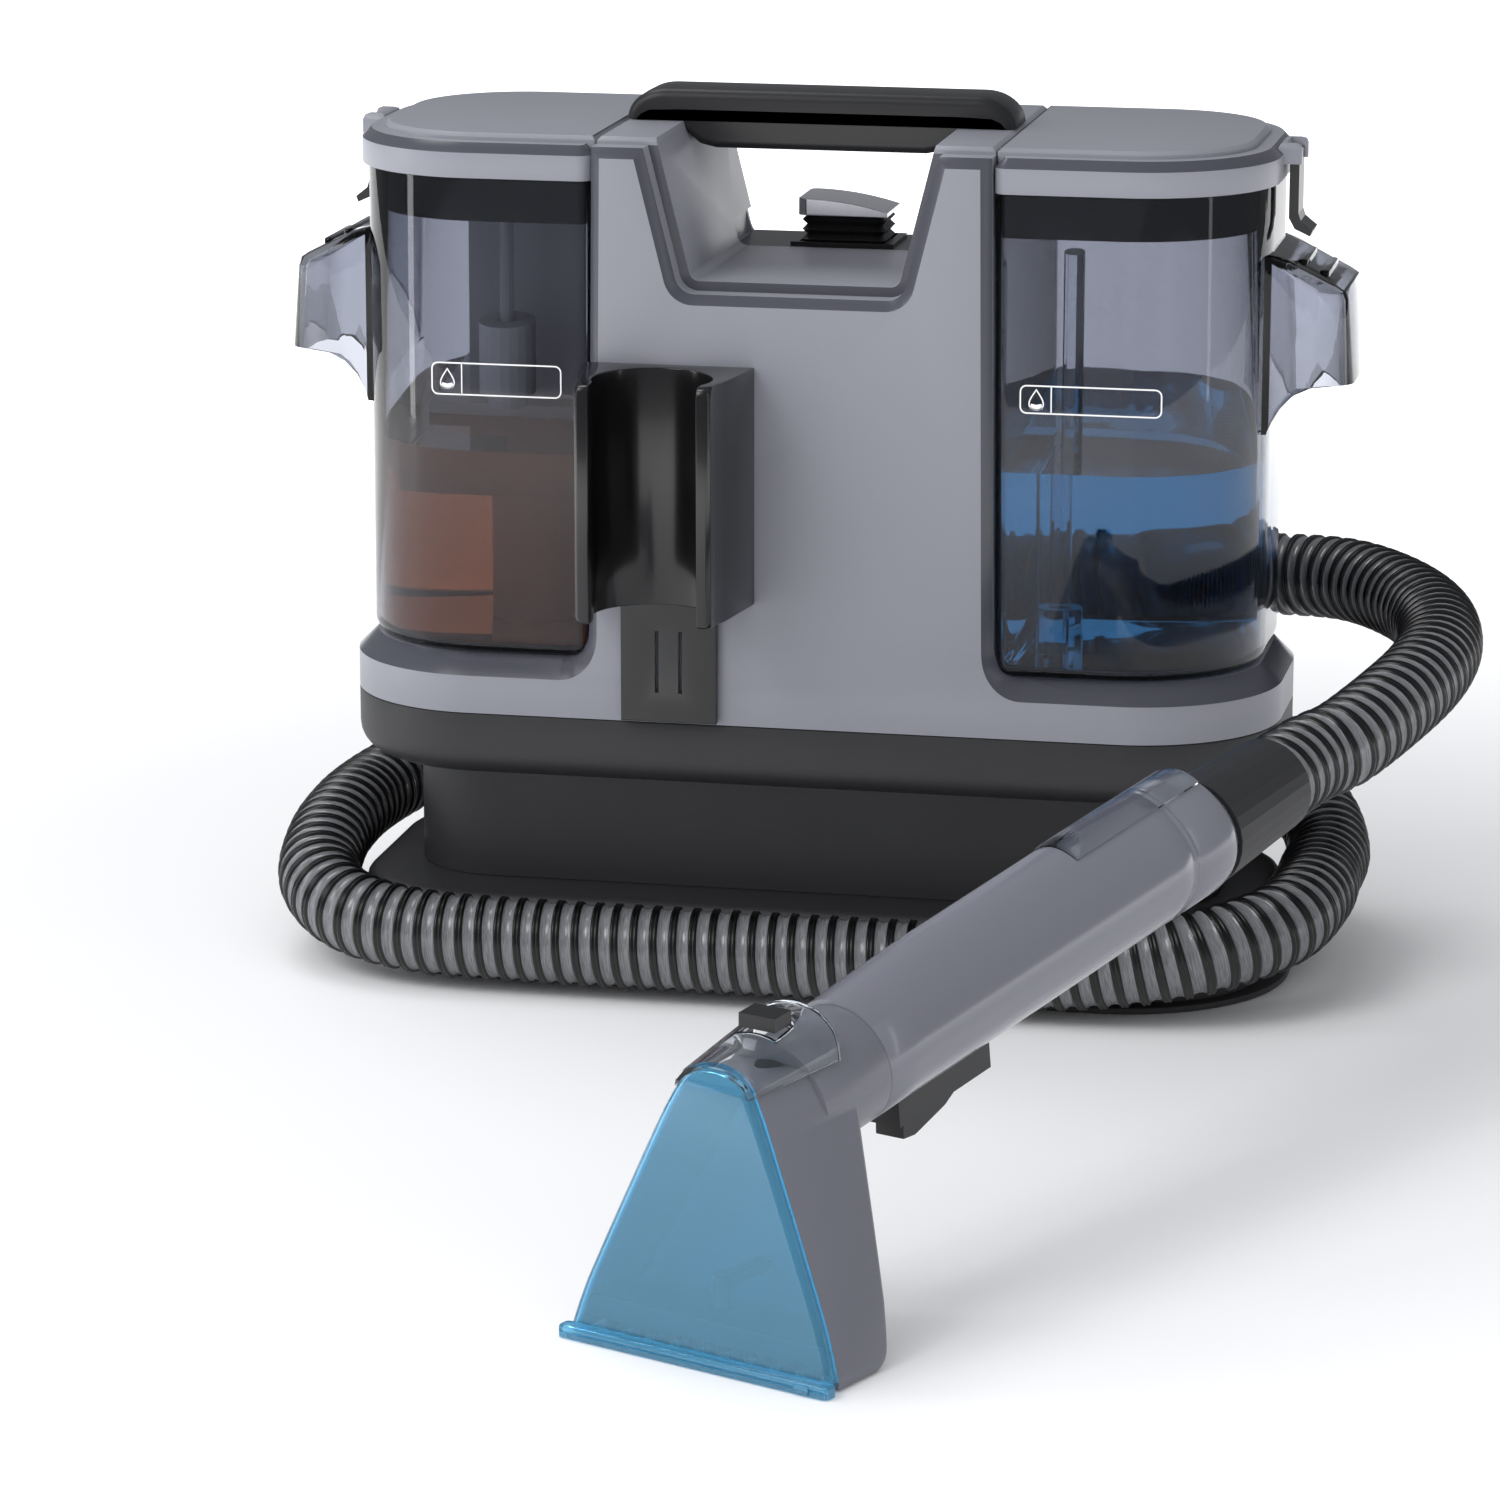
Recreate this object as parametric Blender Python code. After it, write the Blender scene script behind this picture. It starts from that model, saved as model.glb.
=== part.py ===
"""Portable spot carpet cleaner: a central housing with a carry handle, two lift-out tanks, a hose, a wand and a nozzle.

Metres, +Z up, front towards -Y, clean tank on +X. The machine stands on z = 0, centred on the origin.
"""
import math

import bmesh
import bpy
from mathutils import Vector

# Machine, overall
BASE_HALF_WIDTH = 0.200
BASE_HALF_DEPTH = 0.081
BASE_CORNER = 0.062
GAP = 0.0003
WALL = 0.0025

# Base plate, flange and plinth that the hose wraps round
PLATE_HALF_WIDTH = 0.205
PLATE_HALF_DEPTH = 0.091
PLATE_CORNER = 0.072
PLATE_THICKNESS = 0.003
FLANGE_HALF_WIDTH = 0.195
FLANGE_HALF_DEPTH = 0.081
FLANGE_CORNER = 0.050
FLANGE_TOP = 0.0345
PLINTH_HALF_WIDTH = 0.175
PLINTH_HALF_DEPTH = 0.052
PLINTH_CORNER = 0.040
PAD_RADIUS = 0.011
PAD_THICKNESS = 0.0018

# Skirt pan and grey body
SKIRT_BOTTOM = 0.0855
BODY_BOTTOM = 0.1134
SKIRT_EDGE = 0.012
DECK = 0.138
RIM_CHAMFER = 0.0085
TOWER_HALF_WIDTH = 0.0837
TOWER_DRAFT = 0.0102
TOP = 0.358
PANEL_STEP = 0.003
PANEL_INSET = 0.0125
TOP_CHAMFER = 0.0037
CAVITY_TOP = 0.286
REAR_SPLIT = 0.0585

# Notch under the carry handle
NOTCH_FLOOR = TOP - 0.059
NOTCH_HALF_FLOOR = 0.0437
NOTCH_HALF_TOP = 0.0585
NOTCH_CORNER = 0.0045
NOTCH_STEP = 0.004
NOTCH_LEDGE_DEPTH = 0.0135
HANDLE_HALF_LENGTH = 0.0832
HANDLE_HALF_DEPTH = 0.0150
HANDLE_TOP = TOP + 0.0135
HANDLE_PARTING = TOP + 0.0045
HANDLE_UNDERSIDE = TOP - 0.0115

# Power switch at the back of the notch floor
SWITCH_Y = 0.0515
SWITCH_HALF_WIDTH = 0.0190
SWITCH_HALF_DEPTH = 0.0150
PLATE_STRIP_FRONT = 0.030
PLATE_STRIP_BACK = 0.074
STRIP_THICKNESS = 0.0012

# Tanks and lids
TANK_OUTER = 0.1925
TANK_HALF_DEPTH = 0.0770
TANK_CORNER = 0.058
TANK_INNER_CORNER = 0.006
TANK_WALL = 0.0020
TANK_TOP = TOP - 0.0180
LID_OUTER = 0.1950
LID_HALF_DEPTH = 0.0780
LID_BOTTOM = TOP - 0.0175
SEAL_BOTTOM = TOP - 0.0360
SEAL_THICKNESS = 0.0050
LATCH_HALF_WIDTH = 0.009
LATCH_Y = {1: 0.0, -1: 0.013}
GRIP_HALF_WIDTH = 0.034
GRIP_REACH = 0.0325
GRIP_ROOT_TOP = 0.309
GRIP_TIP_TOP = 0.297
GRIP_TIP_BOTTOM = 0.259
GRIP_ROOT_BOTTOM = 0.246
LIFT = 0.260

# Wand holder
HOLDER_X = -0.050
HOLDER_FRONT_HALF = 0.0285
HOLDER_BACK_HALF = 0.0360
HOLDER_DEPTH = 0.0530
HOLDER_BORE = 0.0250
HOLDER_MOUTH_HALF = 0.0225
HOLDER_BOTTOM = 0.166
HOLDER_TOP = 0.2660
HOLDER_TAIL_BOTTOM = 0.1145
HOLDER_TAIL_WIDTH = 0.041
HOLDER_TAIL_THICKNESS = 0.0040
RAIL_HALF_WIDTH = 0.008
RAIL_THICKNESS = 0.0024

# Fan, motor and shaft in the tower
FAN_BOTTOM = 0.148
FAN_HEIGHT = 0.036
FAN_RADIUS = 0.062
SHAFT_RADIUS = 0.0045
MOTOR_RADIUS = 0.040
MOTOR_HEIGHT = 0.093

# Hose
HOSE_DIAMETER = 0.0360
CUFF_DIAMETER = 0.0440
PORT_X = 0.060
PORT_Y = 0.100
PORT_Z = 0.0610
PORT_LENGTH = 0.040

# Wand: its joint with the nozzle, heading, tilt and lengths
JOINT = (0.096, -0.464, 0.0869)
HEADING_DEG = 23.3
TILT_DEG = 7.6
TUBE_DIAMETER = 0.0460
TUBE_LENGTH = 0.245
TUBE_WALL = 0.0025
WAND_CUFF_LENGTH = 0.058
CHANNEL_START = 0.020
CHANNEL_WIDTH = 0.020
CHANNEL_HEIGHT = 0.0065
TRIGGER_START = 0.022
TRIGGER_LENGTH = 0.048
TRIGGER_SWING_DEG = 9.0

# Nozzle, in its own frame: x across, y back along the wand, z up from the joint
LIP_HALF_WIDTH = 0.0575
NOZZLE_SECTIONS = (
    # height, half width, front, back
    (0.0235, 0.0185, -0.0600, -0.0100),
    (0.0100, 0.0215, -0.0715, -0.0130),
    (-0.0060, 0.0275, -0.0745, -0.0200),
    (-0.0660, 0.0500, -0.0820, -0.0420),
    (-0.0745, 0.0530, -0.0832, -0.0453),
    (-0.0805, 0.0548, -0.0839, -0.0480),
    (-0.0840, 0.0556, -0.0843, -0.0510),
    (-0.0860, 0.0560, -0.0846, -0.0550),
)
NOZZLE_WALL = 0.0028
COVER_THICKNESS = 0.0025
BRUSH_ROWS = 3
BRUSH_COLUMNS = 9

# Rear cord bracket
BRACKET_X = -0.035
BRACKET_HALF_WIDTH = 0.017
BRACKET_BOTTOM = 0.182
BRACKET_TOP = 0.286
HOOK_LOW = 0.203
HOOK_HIGH = 0.265
HOOK_LENGTH = 0.036

HOSE_ROUTE = (
    (PORT_X + PORT_LENGTH + GAP, PORT_Y, PORT_Z),
    (0.110, PORT_Y, PORT_Z),
    (0.128, PORT_Y, PORT_Z),
    (0.158, 0.0995, 0.0590),
    (0.188, 0.0920, 0.0535),
    (0.206, 0.0700, 0.0490),
    (0.2155, 0.0350, 0.0420),
    (0.2155, 0.0000, 0.0400),
    (0.2155, -0.0300, 0.0395),
    (0.2075, -0.0670, 0.0365),
    (0.1830, -0.0925, 0.0315),
    (0.1500, -0.1020, 0.0260),
    (0.1100, -0.1045, 0.0225),
    (0.0500, -0.1045, 0.0215),
    (-0.0400, -0.1045, 0.0215),
    (-0.1050, -0.1040, 0.0215),
    (-0.1530, -0.1020, 0.0225),
    (-0.1870, -0.0910, 0.0260),
    (-0.2080, -0.0660, 0.0320),
    (-0.2155, -0.0300, 0.0395),
    (-0.2160, 0.0050, 0.0440),
    (-0.2140, 0.0400, 0.0450),
    (-0.2050, 0.0720, 0.0480),
    (-0.1800, 0.1000, 0.0600),
    (-0.1300, 0.1120, 0.0830),
    (-0.0600, 0.1130, 0.1130),
    (0.0200, 0.1100, 0.1370),
    (0.1000, 0.1060, 0.1470),
    (0.1550, 0.1030, 0.1480),
    (0.1900, 0.0980, 0.1500),
    (0.2180, 0.0820, 0.1520),
    (0.2420, 0.0520, 0.1520),
    (0.2590, 0.0150, 0.1510),
    (0.2660, -0.0250, 0.1490),
    (0.2640, -0.0650, 0.1460),
    (0.2540, -0.1050, 0.1410),
    (0.2390, -0.1420, 0.1340),
)

SCENE = bpy.context.scene
PARTS = bpy.data.collections.new("carpet_cleaner")
CUTTERS = bpy.data.collections.new("cutters")


def clear_scene():
    for obj in list(bpy.data.objects):
        bpy.data.objects.remove(obj, do_unlink=True)
    SCENE.collection.children.link(PARTS)
    SCENE.collection.children.link(CUTTERS)


MATERIALS = {}


def material(name, colour, roughness, metallic=0.0, alpha=1.0):
    if name in MATERIALS:
        return MATERIALS[name]
    made = bpy.data.materials.new(name)
    made.use_nodes = True
    shader = made.node_tree.nodes["Principled BSDF"]
    shader.inputs["Base Color"].default_value = (*colour, 1.0)
    shader.inputs["Roughness"].default_value = roughness
    shader.inputs["Metallic"].default_value = metallic
    shader.inputs["Alpha"].default_value = alpha
    MATERIALS[name] = made
    return made


def grey_plastic():
    return material("grey_plastic", (0.33, 0.33, 0.38), 0.38)


def black_plastic():
    return material("black_plastic", (0.03, 0.03, 0.03), 0.45)


def clear_plastic():
    return material("smoky_clear_plastic", (0.35, 0.37, 0.42), 0.08, alpha=0.35)


def rubber():
    return material("black_rubber", (0.02, 0.02, 0.02), 0.75)


def bare_metal():
    return material("silver_paint", (0.55, 0.56, 0.60), 0.25, 0.6)


def steel():
    return material("steel", (0.55, 0.55, 0.55), 0.35, 0.9)


def link(obj, group, look=None):
    group.objects.link(obj)
    if look is not None:
        obj.data.materials.clear()
        obj.data.materials.append(look)
    if group is CUTTERS:
        obj.hide_render = True
        obj.display_type = "WIRE"
    return obj


def mesh_object(name, build, group, look=None):
    """An object whose mesh is made in a bmesh by build(bm)."""
    data = bpy.data.meshes.new(name)
    bm = bmesh.new()
    build(bm)
    bmesh.ops.recalc_face_normals(bm, faces=bm.faces)
    bm.to_mesh(data)
    bm.free()
    return link(bpy.data.objects.new(name, data), group, look)


def rounded(x0, x1, y0, y1, radii, steps=6):
    """Outline of a rectangle; radii go x1y1, x0y1, x0y0, x1y0, anticlockwise."""
    corners = ((x1, y1, 0), (x0, y1, 90), (x0, y0, 180), (x1, y0, 270))
    points = []
    for (x, y, start), radius in zip(corners, radii):
        side_x = 1 if start in (0, 270) else -1
        side_y = 1 if start in (0, 90) else -1
        centre = (x - side_x * radius, y - side_y * radius)
        count = steps if radius > 0.012 else 2
        for i in range(count + 1):
            angle = math.radians(start + 90 * i / count)
            points.append((centre[0] + radius * math.cos(angle), centre[1] + radius * math.sin(angle)))
    return points


def centred(half_width, half_depth, radius, steps=6):
    return rounded(-half_width, half_width, -half_depth, half_depth, (radius,) * 4, steps)


def prism(name, outline, z0, z1, group, look=None, plane="XY"):
    """A flat outline, as a filled 2D curve, given its thickness and turned into a mesh."""
    curve = bpy.data.curves.new(name, "CURVE")
    curve.dimensions = "2D"
    curve.fill_mode = "BOTH"
    curve.extrude = abs(z1 - z0) / 2
    spline = curve.splines.new("POLY")
    spline.points.add(len(outline) - 1)
    spline.use_cyclic_u = True
    for point, (x, y) in zip(spline.points, outline):
        point.co = (x, y, 0, 1)
    guide = bpy.data.objects.new(name + "_outline", curve)
    SCENE.collection.objects.link(guide)
    graph = bpy.context.evaluated_depsgraph_get()
    data = bpy.data.meshes.new_from_object(guide.evaluated_get(graph))
    bpy.data.objects.remove(guide, do_unlink=True)
    data.name = name
    bm = bmesh.new()
    bm.from_mesh(data)
    bmesh.ops.remove_doubles(bm, verts=bm.verts, dist=1e-6)
    bmesh.ops.dissolve_limit(bm, angle_limit=0.001, verts=bm.verts, edges=bm.edges)
    middle = (z0 + z1) / 2
    for vert in bm.verts:
        x, y, z = vert.co
        if plane == "XY":
            vert.co = (x, y, z + middle)
        elif plane == "XZ":
            vert.co = (x, z + middle, y)
        else:
            vert.co = (z + middle, x, y)
    bm.normal_update()
    bmesh.ops.recalc_face_normals(bm, faces=bm.faces)
    bm.to_mesh(data)
    bm.free()
    return link(bpy.data.objects.new(name, data), group, look)


def loft(name, rings, group, look=None):
    """Sections of one point count joined in order, with both ends closed."""

    def build(bm):
        loops = [[bm.verts.new(point) for point in ring] for ring in rings]
        count = len(loops[0])
        for low, high in zip(loops, loops[1:]):
            for i in range(count):
                j = (i + 1) % count
                bm.faces.new((low[i], low[j], high[j], high[i]))
        bm.faces.new(loops[0])
        bm.faces.new(loops[-1])

    return mesh_object(name, build, group, look)


def block(name, x0, x1, y0, y1, z0, z1, group, look=None, edge=0.0):
    def build(bm):
        bmesh.ops.create_cube(bm, size=1.0)
        bmesh.ops.scale(bm, vec=(x1 - x0, y1 - y0, z1 - z0), verts=bm.verts)
        bmesh.ops.translate(bm, vec=((x0 + x1) / 2, (y0 + y1) / 2, (z0 + z1) / 2), verts=bm.verts)
        if edge:
            bmesh.ops.bevel(bm, geom=bm.edges, offset=edge, segments=1, affect="EDGES", profile=0.5)

    return mesh_object(name, build, group, look)


def cylinder(name, centre, radius, length, axis, group, look=None, sides=24, end_radius=None):
    def build(bm):
        bmesh.ops.create_cone(
            bm,
            cap_ends=True,
            segments=sides,
            radius1=radius,
            radius2=radius if end_radius is None else end_radius,
            depth=length,
        )
        turn = Vector((0, 0, 1)).rotation_difference(Vector(axis)).to_matrix()
        bmesh.ops.rotate(bm, matrix=turn, verts=bm.verts)
        bmesh.ops.translate(bm, vec=centre, verts=bm.verts)

    return mesh_object(name, build, group, look)


def boolean(obj, other, operation):
    if other.name not in CUTTERS.objects:
        PARTS.objects.unlink(other)
        link(other, CUTTERS)
    step = obj.modifiers.new(operation.lower(), "BOOLEAN")
    step.operation = operation
    step.solver = "EXACT"
    step.object = other


def cut(obj, *others):
    for other in others:
        boolean(obj, other, "DIFFERENCE")


def join(obj, *others):
    for other in others:
        boolean(obj, other, "UNION")


def bevel_edges(obj, chosen, size, segments=1):
    """Bevel of the edges whose two ends both satisfy chosen(co)."""
    bm = bmesh.new()
    bm.from_mesh(obj.data)
    edges = [edge for edge in bm.edges if all(chosen(vert.co) for vert in edge.verts)]
    bmesh.ops.bevel(bm, geom=edges, offset=size, segments=segments, affect="EDGES", profile=0.5)
    bm.to_mesh(obj.data)
    bm.free()
    return obj


def bevel_rim(obj, z, size, segments=1):
    return bevel_edges(obj, lambda co: abs(co.z - z) < 1e-5, size, segments)


def frame(name, location, turn=(0, 0, 0), parent=None):
    empty = bpy.data.objects.new(name, None)
    empty.location = location
    empty.rotation_euler = turn
    empty.parent = parent
    CUTTERS.objects.link(empty)
    return empty


def hang(empty, *objects):
    for obj in objects:
        obj.parent = empty


def draft_at(z):
    """How far the side of the central tower has moved outwards at this height."""
    return TOWER_DRAFT * (TOP - z)


def lean(obj, side):
    """Tilts the inner wall of a tank or lid to follow the tower's side."""
    for vert in obj.data.vertices:
        if side * vert.co.x < 0.12:
            vert.co.x += side * draft_at(vert.co.z)
    return obj


def d_outline(side, outer, half_depth, inset=0.0):
    """Plan of a tank: straight against the tower, rounded at its outer end."""
    inner = TOWER_HALF_WIDTH + GAP + inset
    far = outer - inset
    deep = half_depth - inset
    big = TANK_CORNER - inset
    small = max(TANK_INNER_CORNER - inset, 0.002)
    if side > 0:
        return rounded(inner, far, -deep, deep, (big, small, small, big), 8)
    return rounded(-far, -inner, -deep, deep, (small, big, big, small), 8)


def make_base():
    plate = prism("bottom_plate", centred(PLATE_HALF_WIDTH, PLATE_HALF_DEPTH, PLATE_CORNER), 0, PLATE_THICKNESS,
                  PARTS, black_plastic())
    for i, (x, y) in enumerate(((0.15, 0.055), (-0.15, 0.055), (-0.15, -0.055), (0.15, -0.055))):
        pocket = cylinder(f"pad_pocket_{i}", (x, y, 0), PAD_RADIUS + GAP, 2 * (PAD_THICKNESS + GAP), (0, 0, 1),
                          CUTTERS, sides=16)
        cut(plate, pocket)
        cylinder(f"foot_pad_{i + 1}", (x, y, PAD_THICKNESS / 2), PAD_RADIUS, PAD_THICKNESS, (0, 0, 1), PARTS,
                 rubber(), 16)

    floor = PLATE_THICKNESS + GAP
    flange = prism("base_flange", centred(FLANGE_HALF_WIDTH, FLANGE_HALF_DEPTH, FLANGE_CORNER), floor, FLANGE_TOP,
                   PARTS, black_plastic())
    bevel_rim(flange, FLANGE_TOP, 0.004, 2)
    hollow = centred(FLANGE_HALF_WIDTH - WALL, FLANGE_HALF_DEPTH - WALL, FLANGE_CORNER - WALL)
    cut(flange, prism("flange_hollow", hollow, floor - 0.001, FLANGE_TOP - WALL, CUTTERS))
    cut(flange, prism("flange_opening", centred(0.150, 0.032, 0.02), 0.02, 0.05, CUTTERS))

    low = FLANGE_TOP + GAP
    high = SKIRT_BOTTOM - GAP
    plinth = prism("plinth", centred(PLINTH_HALF_WIDTH, PLINTH_HALF_DEPTH, PLINTH_CORNER), low, high, PARTS,
                   black_plastic())
    bore = centred(PLINTH_HALF_WIDTH - WALL, PLINTH_HALF_DEPTH - WALL, PLINTH_CORNER - WALL)
    cut(plinth, prism("plinth_bore", bore, low - 0.001, high + 0.001, CUTTERS))
    cut(plinth, cylinder("plinth_port_hole", (PORT_X - PORT_Y + PLINTH_HALF_DEPTH + 0.022 + GAP, PLINTH_HALF_DEPTH, PORT_Z),
                         0.0150, 0.02, (0, 1, 0), CUTTERS))

    skirt_top = BODY_BOTTOM - GAP
    skirt = prism("skirt_pan", centred(BASE_HALF_WIDTH, BASE_HALF_DEPTH, BASE_CORNER), SKIRT_BOTTOM, skirt_top,
                  PARTS, black_plastic())
    bevel_rim(skirt, SKIRT_BOTTOM, SKIRT_EDGE, 3)
    pan = prism("skirt_hollow", centred(BASE_HALF_WIDTH - WALL, BASE_HALF_DEPTH - WALL, BASE_CORNER - WALL),
                SKIRT_BOTTOM + WALL, skirt_top + 0.001, CUTTERS)
    bevel_rim(pan, SKIRT_BOTTOM + WALL, SKIRT_EDGE, 3)
    cut(skirt, pan)
    cut(skirt, prism("skirt_opening", centred(0.150, 0.032, 0.02), SKIRT_BOTTOM - 0.01, SKIRT_BOTTOM + 0.01, CUTTERS))


def notch_outline(offset):
    """The handle notch seen from the front, moved outwards by offset."""
    slope = (NOTCH_HALF_TOP - NOTCH_HALF_FLOOR) / (TOP - NOTCH_FLOOR)
    floor = NOTCH_FLOOR - offset
    high = TOP + 0.02
    side = offset * math.hypot(1, slope)
    half_low = NOTCH_HALF_FLOOR + side + slope * (floor - NOTCH_FLOOR)
    half_high = NOTCH_HALF_FLOOR + side + slope * (high - NOTCH_FLOOR)
    radius = NOTCH_CORNER + offset
    lean_angle = math.degrees(math.atan(slope))
    turn = 90 - lean_angle
    reach = radius * math.tan(math.radians(turn / 2))
    points = [(-half_high, high)]
    for side_sign in (-1, 1):
        centre_x = side_sign * (half_low - reach)
        centre_z = floor + radius
        arc = []
        for i in range(5):
            angle = math.radians(turn * (1 - i / 4))
            arc.append((centre_x + side_sign * radius * math.sin(angle), centre_z - radius * math.cos(angle)))
        points.extend(arc if side_sign < 0 else arc[::-1])
    points.append((half_high, high))
    return points


def make_body():
    shell = prism("main_housing", centred(BASE_HALF_WIDTH, BASE_HALF_DEPTH, BASE_CORNER), BODY_BOTTOM, DECK, PARTS,
                  grey_plastic())
    bevel_rim(shell, DECK, RIM_CHAMFER)
    half_low = TOWER_HALF_WIDTH + draft_at(BODY_BOTTOM + 0.001)
    depth = BASE_HALF_DEPTH - 0.0001
    tower = prism("tower_block", centred(TOWER_HALF_WIDTH, depth, 0.004), BODY_BOTTOM + 0.001, TOP - PANEL_STEP,
                  CUTTERS)
    for vert in tower.data.vertices:
        if vert.co.z < 0.2:
            vert.co.x *= half_low / TOWER_HALF_WIDTH
    bevel_rim(tower, TOP - PANEL_STEP, TOP_CHAMFER)
    panel = prism("tower_panel", rounded(-TOWER_HALF_WIDTH + 0.0002, TOWER_HALF_WIDTH - 0.0002,
                                         -depth + PANEL_INSET, depth - PANEL_INSET, (0.003,) * 4),
                  TOP - 0.02, TOP, CUTTERS)
    bevel_rim(panel, TOP, 0.0018)
    join(shell, tower, panel)

    inner = centred(BASE_HALF_WIDTH - WALL, BASE_HALF_DEPTH - WALL, BASE_CORNER - WALL)
    band = prism("band_hollow", inner, BODY_BOTTOM - 0.01, DECK - WALL, CUTTERS)
    bevel_rim(band, DECK - WALL, RIM_CHAMFER)
    well = prism("tower_hollow", centred(TOWER_HALF_WIDTH - WALL, BASE_HALF_DEPTH - WALL, 0.004), DECK - 0.01,
                 CAVITY_TOP, CUTTERS)
    cut(shell, band, well)
    cut(shell, prism("notch_cut", notch_outline(0), -0.1, 0.1, CUTTERS, plane="XZ"))
    ledge = BASE_HALF_DEPTH - NOTCH_LEDGE_DEPTH
    cut(shell, prism("notch_front", notch_outline(NOTCH_STEP), -0.1, -ledge, CUTTERS, plane="XZ"))
    cut(shell, prism("notch_back", notch_outline(NOTCH_STEP), ledge, 0.1, CUTTERS, plane="XZ"))
    for sign, name in ((-1, "notch_front_edge"), (1, "notch_back_edge")):
        face = sign * (BASE_HALF_DEPTH + 0.002)
        root = sign * (BASE_HALF_DEPTH - 0.004)
        outer = [(x, face, z) for x, z in notch_outline(NOTCH_STEP + 0.006)]
        small = [(x, root, z) for x, z in notch_outline(NOTCH_STEP)]
        cut(shell, loft(name, (outer, small), CUTTERS))
    seat = block("strip_seat", -0.060, 0.060, PLATE_STRIP_FRONT, PLATE_STRIP_BACK,
                 NOTCH_FLOOR - STRIP_THICKNESS - GAP, NOTCH_FLOOR + 0.001, CUTTERS)
    well_hole = block("switch_well", -SWITCH_HALF_WIDTH, SWITCH_HALF_WIDTH, SWITCH_Y - SWITCH_HALF_DEPTH,
                      SWITCH_Y + SWITCH_HALF_DEPTH, CAVITY_TOP - 0.001, NOTCH_FLOOR + 0.001, CUTTERS)
    cut(shell, seat, well_hole)
    make_rear_cover(shell)
    return shell


def make_rear_cover(shell):
    """The back of the tower is its own moulding, screwed on over the motor."""
    half = TOWER_HALF_WIDTH - 0.010
    low, high = DECK + 0.012, CAVITY_TOP - 0.010
    opening = block("rear_opening", -half, half, REAR_SPLIT, 0.1, low, high, CUTTERS)
    cut(shell, opening)
    back = BASE_HALF_DEPTH
    cover = block("rear_cover", -half + GAP, half - GAP, back - WALL, back, low + GAP, high - GAP, PARTS,
                  grey_plastic())
    for i in range(6):
        z = low + 0.014 + 0.006 * i
        cut(cover, block(f"vent_{i}", 0.010, 0.060, back - 0.01, back + 0.01, z, z + 0.0025, CUTTERS))
    cut(cover, block("inlet_hole", 0.028, 0.054, back - 0.01, back + 0.01, high - 0.042, high - 0.020, CUTTERS))
    inlet = block("power_inlet", 0.028 + GAP, 0.054 - GAP, back - 0.022, back - 0.0005, high - 0.042 + GAP,
                  high - 0.020 - GAP, PARTS, black_plastic())
    cut(inlet, cylinder("inlet_bore", (0.041, back, high - 0.031), 0.0045, 0.03, (0, 1, 0), CUTTERS, sides=12))


def make_handle():
    """Two half shells of one carry handle, parted along its length."""

    def section(z0, z1, name, inset_low, inset_high):
        rings = []
        for z, inset in ((z0, inset_low), (z1, inset_high)):
            ring = rounded(-HANDLE_HALF_LENGTH + inset, HANDLE_HALF_LENGTH - inset, -HANDLE_HALF_DEPTH + inset / 3,
                           HANDLE_HALF_DEPTH - inset / 3, (0.005,) * 4)
            rings.append([(x, y, z) for x, y in ring])
        return rings

    upper = section(HANDLE_PARTING + GAP, HANDLE_TOP, "upper", 0.0, 0.0075)
    obj = loft("handle_upper", upper, PARTS, black_plastic())
    bevel_rim(obj, HANDLE_TOP, 0.003, 2)
    low = TOP + GAP
    foot = section(low, HANDLE_PARTING, "lower", 0.0, 0.0)
    base = loft("handle_lower", foot, PARTS, black_plastic())
    slope = (NOTCH_HALF_TOP - NOTCH_HALF_FLOOR) / (TOP - NOTCH_FLOOR)
    half_low = NOTCH_HALF_TOP - slope * (TOP - HANDLE_UNDERSIDE) - 0.0006
    half_high = NOTCH_HALF_TOP + slope * (HANDLE_PARTING - TOP) - 0.0006
    bar = [(-half_low, HANDLE_UNDERSIDE), (half_low, HANDLE_UNDERSIDE), (half_high, HANDLE_PARTING - 0.001),
           (-half_high, HANDLE_PARTING - 0.001)]
    grip = prism("handle_bar", bar, -HANDLE_HALF_DEPTH, HANDLE_HALF_DEPTH, CUTTERS, plane="XZ")
    bevel_edges(grip, lambda co: abs(co.z - HANDLE_UNDERSIDE) < 1e-5 and abs(abs(co.y) - HANDLE_HALF_DEPTH) < 1e-5,
                0.007, 3)
    join(base, grip)


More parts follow.
